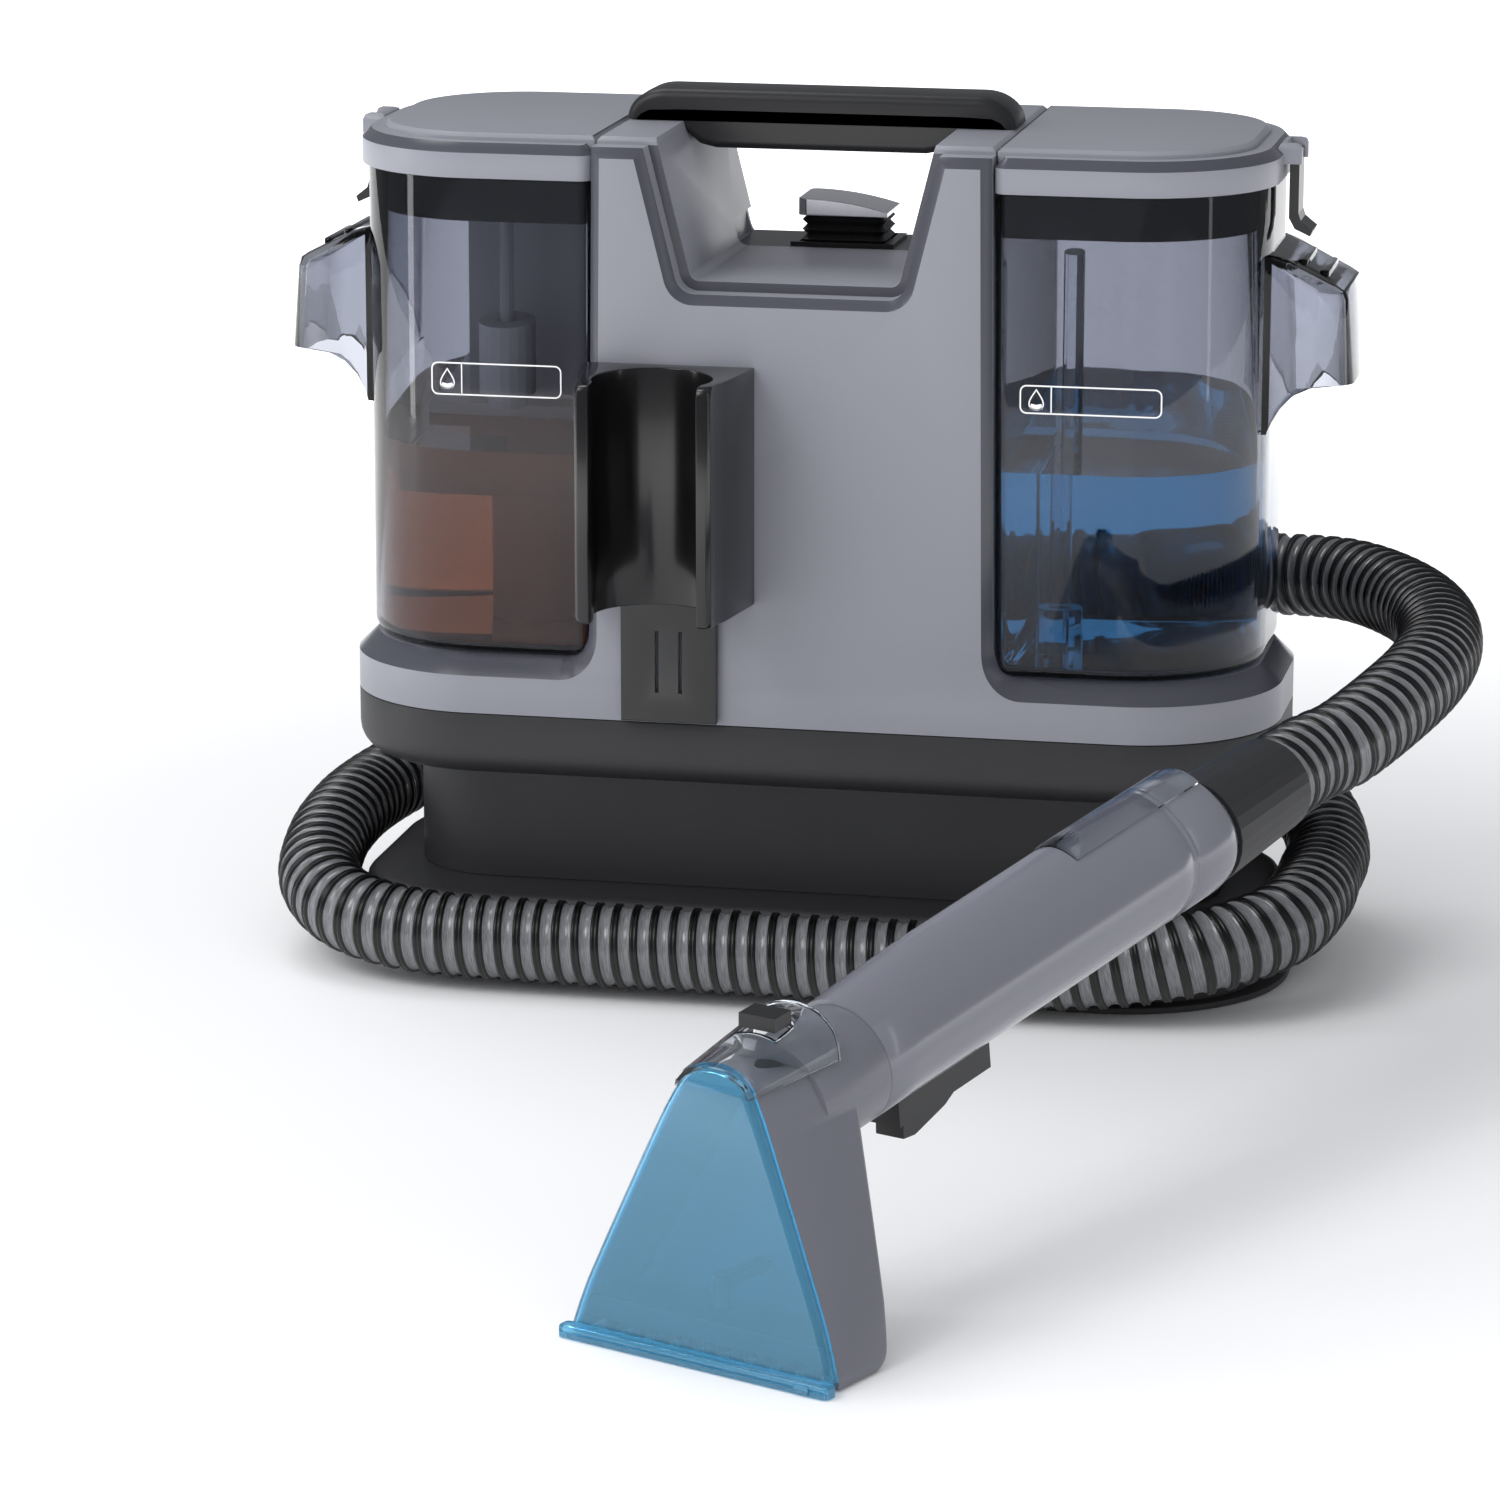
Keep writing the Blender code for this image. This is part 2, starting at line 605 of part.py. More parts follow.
def make_switch():
    top = NOTCH_FLOOR
    strip = block("switch_plate", -0.0460, 0.0460, PLATE_STRIP_FRONT + GAP, PLATE_STRIP_BACK - GAP,
                  top - STRIP_THICKNESS, top, PARTS, black_plastic())
    frame_half = SWITCH_HALF_WIDTH + 0.0035
    frame_deep = SWITCH_HALF_DEPTH + 0.0015
    bezel = block("switch_bezel", -frame_half, frame_half, SWITCH_Y - frame_deep, SWITCH_Y + frame_deep,
                  top - 0.0005, top + 0.0015, CUTTERS)
    join(strip, bezel)
    cut(strip, block("switch_mouth", -SWITCH_HALF_WIDTH, SWITCH_HALF_WIDTH, SWITCH_Y - SWITCH_HALF_DEPTH,
                     SWITCH_Y + SWITCH_HALF_DEPTH, top - 0.01, top + 0.01, CUTTERS))
    rings = []
    pleats = 4
    rise = 0.0125
    for i in range(2 * pleats + 1):
        inset = 0.0024 if i % 2 == 0 else 0.0006
        z = top - 0.004 + (rise + 0.004) * i / (2 * pleats)
        ring = rounded(-SWITCH_HALF_WIDTH + inset, SWITCH_HALF_WIDTH - inset, SWITCH_Y - SWITCH_HALF_DEPTH + inset,
                       SWITCH_Y + SWITCH_HALF_DEPTH - inset, (0.003,) * 4)
        rings.append([(x, y, z) for x, y in ring])
    bellows = loft("switch_bellows", rings, PARTS, rubber())
    cut(bellows, block("bellows_bore", -0.0125, 0.0125, SWITCH_Y - 0.009, SWITCH_Y + 0.009, top - 0.01, top + 0.011,
                       CUTTERS))
    low = top + rise + GAP
    cap = prism("switch_cap", rounded(-0.0195, 0.0195, SWITCH_Y - 0.0155, SWITCH_Y + 0.0155, (0.006,) * 4), low,
                low + 0.0055, PARTS, bare_metal())
    bevel_rim(cap, low + 0.0055, 0.0018, 2)


def make_tank(side, name):
    bottom = DECK + GAP
    tank = prism(name, d_outline(side, TANK_OUTER, TANK_HALF_DEPTH), bottom, TANK_TOP, PARTS, clear_plastic())
    bevel_rim(tank, bottom, 0.005, 2)
    lean(tank, side)
    root = side * (TANK_OUTER - 0.004)
    tip = side * (TANK_OUTER + GRIP_REACH)
    outline = [(root, GRIP_ROOT_BOTTOM), (tip + side * 0.0025, GRIP_TIP_BOTTOM), (tip, GRIP_TIP_TOP),
               (root, GRIP_ROOT_TOP)]
    if side < 0:
        outline.reverse()
    grip = prism(name + "_grip", outline, -GRIP_HALF_WIDTH, GRIP_HALF_WIDTH, CUTTERS, plane="XZ")
    bevel_edges(grip, lambda co: side * co.x > TANK_OUTER and abs(abs(co.y) - GRIP_HALF_WIDTH) < 1e-5, 0.007, 2)
    join(tank, grip)
    wall = 0.0022
    scoop = [(root + side * 0.0045, GRIP_ROOT_BOTTOM - 0.02), (tip + side * (0.0035 - wall), GRIP_TIP_BOTTOM - 0.02),
             (tip - side * wall, GRIP_TIP_TOP - wall), (root + side * 0.0045, GRIP_ROOT_TOP - wall)]
    if side < 0:
        scoop.reverse()
    hollow = prism(name + "_grip_hollow", scoop, -GRIP_HALF_WIDTH + wall, GRIP_HALF_WIDTH - wall, CUTTERS, plane="XZ")
    bevel_edges(hollow, lambda co: side * co.x > TANK_OUTER + 0.01 and abs(abs(co.y) - GRIP_HALF_WIDTH + wall) < 1e-5,
                0.006, 2)
    body = prism(name + "_body", d_outline(side, TANK_OUTER, TANK_HALF_DEPTH), bottom + 0.001, TANK_TOP - 0.001,
                 CUTTERS)
    lean(body, side)
    cut(hollow, body)
    cut(tank, hollow)
    inside = prism(name + "_inside", d_outline(side, TANK_OUTER, TANK_HALF_DEPTH, TANK_WALL), bottom + WALL,
                   TANK_TOP + 0.01, CUTTERS)
    bevel_rim(inside, bottom + WALL, 0.004, 2)
    lean(inside, side)
    cut(tank, inside)
    catch = block(name + "_catch", *sorted((side * (TANK_OUTER - 0.0005), side * (LID_OUTER + 0.0018))),
                  LATCH_Y[side] - LATCH_HALF_WIDTH, LATCH_Y[side] + LATCH_HALF_WIDTH, 0.3250, 0.3290, CUTTERS)
    join(tank, catch)
    return tank


def make_lid(side, name):
    lid = prism(name + "_lid", d_outline(side, LID_OUTER, LID_HALF_DEPTH), LID_BOTTOM, TOP - PANEL_STEP, PARTS,
                grey_plastic())
    bevel_rim(lid, TOP - PANEL_STEP, TOP_CHAMFER)
    lean(lid, side)
    inner = TOWER_HALF_WIDTH + GAP + 0.0002
    far = LID_OUTER - 0.0100
    deep = BASE_HALF_DEPTH - PANEL_INSET
    big = TANK_CORNER - 0.010
    if side > 0:
        outline = rounded(inner, far, -deep, deep, (big, 0.003, 0.003, big), 8)
    else:
        outline = rounded(-far, -inner, -deep, deep, (0.003, big, big, 0.003), 8)
    panel = prism(name + "_panel", outline, TOP - 0.01, TOP, CUTTERS)
    bevel_rim(panel, TOP, 0.0018)
    lean(panel, side)
    join(lid, panel)
    inside = prism(name + "_lid_inside", d_outline(side, LID_OUTER, LID_HALF_DEPTH, 0.0018), LID_BOTTOM - 0.01,
                   TOP - 0.007, CUTTERS)
    lean(inside, side)
    cut(lid, inside)
    lug_x = side * (LID_OUTER - 0.002)
    middle = LATCH_Y[side]
    lug = prism(name + "_lug", [(lug_x + side * 0.0005, TOP - 0.0110), (lug_x + side * 0.0095, TOP - 0.0110),
                                (lug_x + side * 0.0095, TOP - 0.0050), (lug_x + side * 0.0005, TOP - 0.0050)][::side],
                middle - LATCH_HALF_WIDTH - 0.004, middle + LATCH_HALF_WIDTH + 0.004, CUTTERS, plane="XZ")
    join(lid, lug)
    cut(lid, block(name + "_lug_slot", *sorted((lug_x + side * 0.0028, lug_x + side * 0.02)),
                   middle - LATCH_HALF_WIDTH - GAP, middle + LATCH_HALF_WIDTH + GAP, 0.33, 0.36, CUTTERS))

    seal = prism(name + "_seal", d_outline(side, TANK_OUTER, TANK_HALF_DEPTH, TANK_WALL + GAP + 0.0002), SEAL_BOTTOM,
                 TOP - 0.007 - GAP, PARTS, rubber())
    lean(seal, side)
    bore = prism(name + "_seal_bore",
                 d_outline(side, TANK_OUTER, TANK_HALF_DEPTH, TANK_WALL + GAP + SEAL_THICKNESS), SEAL_BOTTOM - 0.01,
                 TOP, CUTTERS)
    lean(bore, side)
    cut(seal, bore)

    hinge_x = lug_x + side * 0.0062
    latch = prism(name + "_latch", [
        (hinge_x - side * 0.0020, TOP - 0.0060), (hinge_x - side * 0.0020, TOP - 0.0340),
        (hinge_x + side * 0.0005, TOP - 0.0385), (hinge_x + side * 0.0070, TOP - 0.0415),
        (hinge_x + side * 0.0080, TOP - 0.0390), (hinge_x + side * 0.0030, TOP - 0.0350),
        (hinge_x + side * 0.0020, TOP - 0.0320), (hinge_x + side * 0.0020, TOP - 0.0060)][::side],
        middle - LATCH_HALF_WIDTH, middle + LATCH_HALF_WIDTH, PARTS, black_plastic(), plane="XZ")
    return latch


def make_tank_insides():
    bottom = DECK + GAP + WALL + GAP
    x = -0.128
    pipe = cylinder("dirty_standpipe", (x, 0.018, (bottom + 0.300) / 2), 0.017, 0.300 - bottom, (0, 0, 1), PARTS,
                    black_plastic(), 20)
    chamber = block("float_chamber", x - 0.042, x + 0.036, -0.022, TANK_HALF_DEPTH - 0.027, 0.196, 0.230, CUTTERS)
    join(pipe, chamber)
    cut(pipe, cylinder("standpipe_bore", (x, 0.018, 0.25), 0.0145, 0.20, (0, 0, 1), CUTTERS, sides=20))
    float_x, float_y, stop = x, -0.046, 0.2420
    floating = cylinder("dirty_float", (float_x, float_y, stop + GAP + 0.015), 0.012, 0.030, (0, 0, 1), PARTS,
                        material("float_plastic", (0.75, 0.75, 0.75), 0.4), 20)
    cut(floating, cylinder("float_bore", (float_x, float_y, stop + 0.015), 0.0036, 0.05, (0, 0, 1), CUTTERS,
                           sides=12))
    ceiling = TOP - 0.007 - GAP
    foot = stop - 0.001
    rod = cylinder("float_rod", (float_x, float_y, (foot + ceiling) / 2), 0.0030, ceiling - foot, (0, 0, 1), PARTS,
                   black_plastic(), 12)
    join(rod, cylinder("float_stop", (float_x, float_y, stop - 0.0025), 0.0085, 0.005, (0, 0, 1), CUTTERS, sides=16))
    tube = cylinder("clean_pickup", (0.1045, 0.010, (bottom + 0.290) / 2), 0.0045, 0.290 - bottom, (0, 0, 1), PARTS,
                    black_plastic(), 12)
    join(tube, cylinder("pickup_foot", (0.1045, 0.010, bottom + 0.007), 0.0095, 0.014, (0, 0, 1), CUTTERS, sides=16))


def make_holder():
    back = -BASE_HALF_DEPTH - GAP
    front = back - HOLDER_DEPTH
    width = HOLDER_TAIL_WIDTH / 2
    outline = [(HOLDER_X + x, y) for x, y in (
        (-HOLDER_BACK_HALF, back), (-HOLDER_FRONT_HALF - 0.0025, front + 0.018), (-HOLDER_FRONT_HALF, front + 0.010),
        (-HOLDER_FRONT_HALF, front + 0.0015), (-HOLDER_FRONT_HALF + 0.0015, front), (HOLDER_FRONT_HALF - 0.0015, front),
        (HOLDER_FRONT_HALF, front + 0.0015), (HOLDER_FRONT_HALF, front + 0.010),
        (HOLDER_FRONT_HALF + 0.0025, front + 0.018), (HOLDER_BACK_HALF, back))]
    holder = prism("wand_holder", outline, HOLDER_BOTTOM, HOLDER_TOP, PARTS, black_plastic())
    bevel_edges(holder, lambda co: co.z > HOLDER_TOP - 1e-5 and co.y < front + 0.0016, 0.0040, 2)
    bevel_edges(holder, lambda co: co.z < HOLDER_BOTTOM + 1e-5 and co.y < front + 0.0016, 0.0030, 2)
    cut(holder, cylinder("holder_bore", (HOLDER_X, back - 0.0330, (HOLDER_BOTTOM + HOLDER_TOP) / 2), HOLDER_BORE,
                         0.2, (0, 0, 1), CUTTERS, sides=40))
    cut(holder, block("holder_mouth", HOLDER_X - HOLDER_MOUTH_HALF, HOLDER_X + HOLDER_MOUTH_HALF, front - 0.01,
                      back - 0.0330, HOLDER_BOTTOM - 0.01, HOLDER_TOP + 0.01, CUTTERS))
    tail = block("holder_tail", HOLDER_X - width, HOLDER_X + width, back - HOLDER_TAIL_THICKNESS, back,
                 HOLDER_TAIL_BOTTOM, HOLDER_BOTTOM + 0.004, CUTTERS)
    join(holder, tail)
    for i, x in enumerate((HOLDER_X - 0.0055, HOLDER_X + 0.0045)):
        cut(holder, block(f"tab_slot_{i}", x, x + 0.0012, back - 0.01, back + 0.01, 0.1276, 0.1534, CUTTERS))
    cut(holder, block("holder_groove", HOLDER_X - RAIL_HALF_WIDTH - 0.0005, HOLDER_X + RAIL_HALF_WIDTH + 0.0005,
                      back - RAIL_THICKNESS - GAP, back + 0.01, HOLDER_TAIL_BOTTOM - 0.01, 0.249, CUTTERS))
    block("holder_rail", HOLDER_X - RAIL_HALF_WIDTH, HOLDER_X + RAIL_HALF_WIDTH, back - RAIL_THICKNESS, back, 0.170,
          0.2480, PARTS, black_plastic())


def make_drive():
    """Fan, motor and pump, on the pan and inside the tower."""
    floor = SKIRT_BOTTOM + WALL + GAP
    duct = prism("air_duct", centred(0.048, 0.048, 0.012), floor, FAN_BOTTOM - GAP, PARTS, black_plastic())
    cut(duct, prism("duct_bore", centred(0.048 - WALL, 0.048 - WALL, 0.010), floor - 0.001, FAN_BOTTOM + 0.001,
                    CUTTERS))
    top = FAN_BOTTOM + FAN_HEIGHT
    volute = cylinder("fan_volute", (0, 0, (FAN_BOTTOM + top) / 2), FAN_RADIUS, FAN_HEIGHT, (0, 0, 1), PARTS,
                      black_plastic(), 28)
    cut(volute, cylinder("fan_space", (0, 0, (FAN_BOTTOM + top) / 2), FAN_RADIUS - 0.006, FAN_HEIGHT - 0.007,
                         (0, 0, 1), CUTTERS, sides=28))
    cut(volute, cylinder("fan_eye", (0, 0, FAN_BOTTOM), 0.024, 0.02, (0, 0, 1), CUTTERS, sides=20))
    cut(volute, cylinder("shaft_hole", (0, 0, top), SHAFT_RADIUS + GAP, 0.02, (0, 0, 1), CUTTERS, sides=12))
    wheel = cylinder("fan_impeller", (0, 0, FAN_BOTTOM + 0.0105), FAN_RADIUS - 0.010, 0.003, (0, 0, 1), PARTS,
                     steel(), 24)
    hub = cylinder("fan_hub", (0, 0, FAN_BOTTOM + 0.0270), SHAFT_RADIUS, 0.036, (0, 0, 1), CUTTERS, sides=12)
    join(wheel, hub)
    for i in range(7):
        blade = block(f"fan_blade_{i}", 0.018, FAN_RADIUS - 0.013, -0.0009, 0.0009, -0.0005, 0.0150, CUTTERS)
        blade.location = (0, 0, FAN_BOTTOM + 0.0115)
        blade.rotation_euler = (0, 0, 2 * math.pi * i / 7)
        join(wheel, blade)
    motor = cylinder("motor", (0, 0, top + GAP + MOTOR_HEIGHT / 2), MOTOR_RADIUS, MOTOR_HEIGHT, (0, 0, 1), PARTS,
                     steel(), 24)
    cut(motor, cylinder("motor_bore", (0, 0, top), SHAFT_RADIUS + GAP, 0.03, (0, 0, 1), CUTTERS, sides=12),
        cylinder("motor_space", (0, 0, top + GAP + MOTOR_HEIGHT / 2), MOTOR_RADIUS - 0.007, MOTOR_HEIGHT - 0.014,
                 (0, 0, 1), CUTTERS, sides=24))
    block("water_pump", 0.100, 0.148, -0.066, -0.036, floor, floor + 0.036, PARTS, black_plastic(), 0.003)


def swept(name, points, radius, group, look=None, resolution=3):
    """A round bar along a list of points, closed at both ends, as a mesh."""
    curve = bpy.data.curves.new(name, "CURVE")
    curve.dimensions = "3D"
    curve.bevel_depth = radius
    curve.bevel_resolution = resolution
    curve.use_fill_caps = True
    spline = curve.splines.new("POLY")
    spline.points.add(len(points) - 1)
    for point, co in zip(spline.points, points):
        point.co = (*co, 1)
    guide = bpy.data.objects.new(name + "_line", curve)
    SCENE.collection.objects.link(guide)
    graph = bpy.context.evaluated_depsgraph_get()
    data = bpy.data.meshes.new_from_object(guide.evaluated_get(graph))
    bpy.data.objects.remove(guide, do_unlink=True)
    bm = bmesh.new()
    bm.from_mesh(data)
    bmesh.ops.remove_doubles(bm, verts=bm.verts, dist=1e-6)
    bm.normal_update()
    bmesh.ops.recalc_face_normals(bm, faces=bm.faces)
    bm.to_mesh(data)
    bm.free()
    return link(bpy.data.objects.new(name, data), group, look)


def make_port():
    """Hose port on the back of the plinth, an elbow that turns the hose towards the clean tank."""
    back = PLINTH_HALF_DEPTH + GAP
    bend = PORT_Y - back - 0.022
    path = [(PORT_X - bend, back, PORT_Z)]
    for i in range(6):
        angle = math.radians(90 * i / 5)
        path.append((PORT_X - bend * math.cos(angle), PORT_Y - bend + bend * math.sin(angle), PORT_Z))
    path.append((PORT_X + PORT_LENGTH, PORT_Y, PORT_Z))
    port = swept("hose_port", path, HOSE_DIAMETER / 2 + 0.001, PARTS, black_plastic())
    path[0] = (PORT_X - bend, back - 0.004, PORT_Z)
    path[-1] = (PORT_X + PORT_LENGTH + 0.01, PORT_Y, PORT_Z)
    cut(port, swept("port_bore", path, 0.0145, CUTTERS))


def make_hose_clip():
    """Cradle on the back of the tower that carries the rising run of the hose."""
    x, y, z = 0.0650, 0.1078, 0.1426
    radius = HOSE_DIAMETER / 2 + 0.0012
    outline = []
    for r, order in ((radius + 0.0035, 1), (radius, -1)):
        steps = 12
        for i in range(steps + 1):
            share = i / steps if order > 0 else 1 - i / steps
            angle = math.radians(150 + 200 * share)
            outline.append((y + r * math.cos(angle), z + r * math.sin(angle)))
    clip = prism("hose_clip", outline, x - 0.010, x + 0.010, PARTS, black_plastic(), plane="YZ")
    back = BASE_HALF_DEPTH + GAP
    join(clip, block("clip_arm", x - 0.010, x + 0.010, back, y - radius - 0.0005, z - 0.020, z - 0.002, CUTTERS))


def make_cord_bracket():
    back = BASE_HALF_DEPTH + GAP
    plate = prism("cord_bracket", rounded(BRACKET_X - BRACKET_HALF_WIDTH, BRACKET_X + BRACKET_HALF_WIDTH,
                                          BRACKET_BOTTOM, BRACKET_TOP, (0.014,) * 4), back, back + 0.004, PARTS,
                  black_plastic(), plane="XZ")
    for name, z, sign in (("lower", HOOK_LOW, -1), ("upper", HOOK_HIGH, 1)):
        boss = cylinder(f"{name}_boss", (BRACKET_X, back + 0.0155, z), 0.0085, 0.024, (0, 1, 0), CUTTERS, sides=20)
        join(plate, boss)
        y0 = back + 0.0275 + GAP
        hook = prism(f"cord_hook_{name}", rounded(BRACKET_X - 0.0115, BRACKET_X + 0.0115, z - 0.0115,
                                                  z + HOOK_LENGTH - 0.0115, (0.0110,) * 4), y0, y0 + 0.0055, PARTS,
                     black_plastic(), plane="XZ")
        if sign < 0:
            for vert in hook.data.vertices:
                vert.co.z = 2 * z - vert.co.z
                vert.co.x = 2 * BRACKET_X - vert.co.x


def make_hose():
    points = [Vector(point) for point in HOSE_ROUTE]
    stem = wand_point(TUBE_LENGTH + WAND_CUFF_LENGTH + 0.030)
    points.append(stem)
    end = wand_point(TUBE_LENGTH + WAND_CUFF_LENGTH + GAP)
    points.append(end)
    path = []
    extended = [2 * points[0] - points[1]] + points + [2 * end - stem]
    for a, b, c, d in zip(extended, extended[1:], extended[2:], extended[3:]):
        for i in range(2):
            t = i / 2
            path.append(0.5 * ((2 * b) + (c - a) * t + (2 * a - 5 * b + 4 * c - d) * t * t
                               + (3 * b - a - 3 * c + d) * t ** 3))
    path.append(end)
    curve = bpy.data.curves.new("hose", "CURVE")
    curve.dimensions = "3D"
    curve.bevel_depth = HOSE_DIAMETER / 2
    curve.bevel_resolution = 2
    curve.use_fill_caps = True
    spline = curve.splines.new("POLY")
    spline.points.add(len(path) - 1)
    for point, co in zip(spline.points, path):
        point.co = (*co, 1)
    hose = bpy.data.objects.new("hose", curve)
    link(hose, PARTS, material("ribbed_hose", (0.4, 0.4, 0.42), 0.3))


def wand_point(along):
    """A point on the wand's axis, this far behind the nozzle joint."""
    heading = math.radians(HEADING_DEG)
    tilt = math.radians(TILT_DEG)
    flat = along * math.cos(tilt)
    return Vector((JOINT[0] + flat * math.sin(heading), JOINT[1] + flat * math.cos(heading),
                   JOINT[2] + along * math.sin(tilt)))


def make_wand():
    level = frame("wand_frame", JOINT, (0, 0, -math.radians(HEADING_DEG)))
    tilted = frame("tube_frame", (0, 0, 0), (math.radians(TILT_DEG), 0, 0), level)
    radius = TUBE_DIAMETER / 2
    tube = cylinder("wand_tube", (0, (TUBE_LENGTH + GAP) / 2, 0), radius, TUBE_LENGTH - GAP, (0, 1, 0), PARTS,
                    grey_plastic(), 28)
    ring = cylinder("wand_ring", (0, TUBE_LENGTH - 0.028, 0), radius + 0.0010, 0.003, (0, 1, 0), CUTTERS, sides=28)
    join(tube, ring)
    cut(tube, cylinder("tube_bore", (0, TUBE_LENGTH / 2, 0), radius - TUBE_WALL, TUBE_LENGTH + 0.02, (0, 1, 0), CUTTERS,
                       sides=24))
    cuff_r = CUFF_DIAMETER / 2
    y0 = TUBE_LENGTH + GAP
    cuff = cylinder("wand_cuff", (0, y0 + (WAND_CUFF_LENGTH - GAP) / 2, 0), cuff_r, WAND_CUFF_LENGTH - GAP, (0, 1, 0),
                    PARTS, black_plastic(), 28, end_radius=HOSE_DIAMETER / 2 + 0.0012)
    neck = cylinder("cuff_neck", (0, TUBE_LENGTH - 0.010, 0), radius - TUBE_WALL - 0.0006, 0.022, (0, 1, 0), CUTTERS,
                    sides=24)
    join(cuff, neck)
    cut(cuff, cylinder("cuff_bore", (0, TUBE_LENGTH + 0.012, 0), 0.0145, 0.080, (0, 1, 0), CUTTERS, sides=20))

    low = radius * 0.80
    channel = block("wand_channel", -CHANNEL_WIDTH / 2, CHANNEL_WIDTH / 2, CHANNEL_START, TUBE_LENGTH - 0.006, low,
                    radius + CHANNEL_HEIGHT, PARTS, clear_plastic())
    bevel_edges(channel, lambda co: co.z > radius, 0.004, 2)
    jacket = cylinder("channel_seat", (0, TUBE_LENGTH / 2, 0), radius + 0.0015, TUBE_LENGTH + 0.02, (0, 1, 0), CUTTERS,
                      sides=28)
    cut(channel, jacket)
    fairing = block("trigger_housing", -0.0095, 0.0095, TRIGGER_START, TRIGGER_START + TRIGGER_LENGTH + 0.012,
                    -radius - 0.0085, -radius * 0.6, PARTS, black_plastic())
    cut(fairing, cylinder("fairing_seat", (0, TUBE_LENGTH / 2, 0), radius + GAP, TUBE_LENGTH + 0.02, (0, 1, 0), CUTTERS,
                          sides=28))
    cut(fairing, block("trigger_slot", -0.0065, 0.0065, TRIGGER_START + 0.0045, TRIGGER_START + TRIGGER_LENGTH,
                       -radius - 0.02, -radius - 0.003, CUTTERS))
    pivot_y = TRIGGER_START + TRIGGER_LENGTH - 0.004
    pivot_z = -radius - 0.0052
    pivot = frame("trigger_axis", (0, pivot_y, pivot_z), parent=tilted)
    trigger = prism("trigger", [(0.0025, 0.0012), (-0.0370, -0.0050), (-0.0375, -0.0110), (-0.0300, -0.0122),
                                (-0.0100, -0.0086), (0.0025, -0.0034)], -0.0060, 0.0060, PARTS, black_plastic(),
                    plane="YZ")
    hang(pivot, trigger)
    hang(tilted, tube, cuff, channel, fairing)
    hang(tilted, *[bpy.data.objects[name] for name in ("wand_ring", "tube_bore", "cuff_neck", "cuff_bore",
                                                        "channel_seat", "fairing_seat", "trigger_slot")])
    make_nozzle(level)


def nozzle_rings(inset_side, inset_front, inset_back, low_extra=0.0, sections=NOZZLE_SECTIONS):
    rings = []
    for z, half, front, back in sections:
        ring = rounded(-half + inset_side, half - inset_side, front + inset_front, back - inset_back,
                       (0.004, 0.004, 0.0012, 0.0012))
        rings.append([(x, y, z) for x, y in ring])
    if low_extra:
        rings.append([(x, y, z - low_extra) for x, y, z in rings[-1]])
    return rings


def nozzle_at(z):
    """Half width, front and back of the nozzle at a height, between the sections."""
    for high, low in zip(NOZZLE_SECTIONS, NOZZLE_SECTIONS[1:]):
        if low[0] <= z <= high[0]:
            share = (high[0] - z) / (high[0] - low[0])
            return [a + (b - a) * share for a, b in zip(high[1:], low[1:])]
    return NOZZLE_SECTIONS[-1][1:]


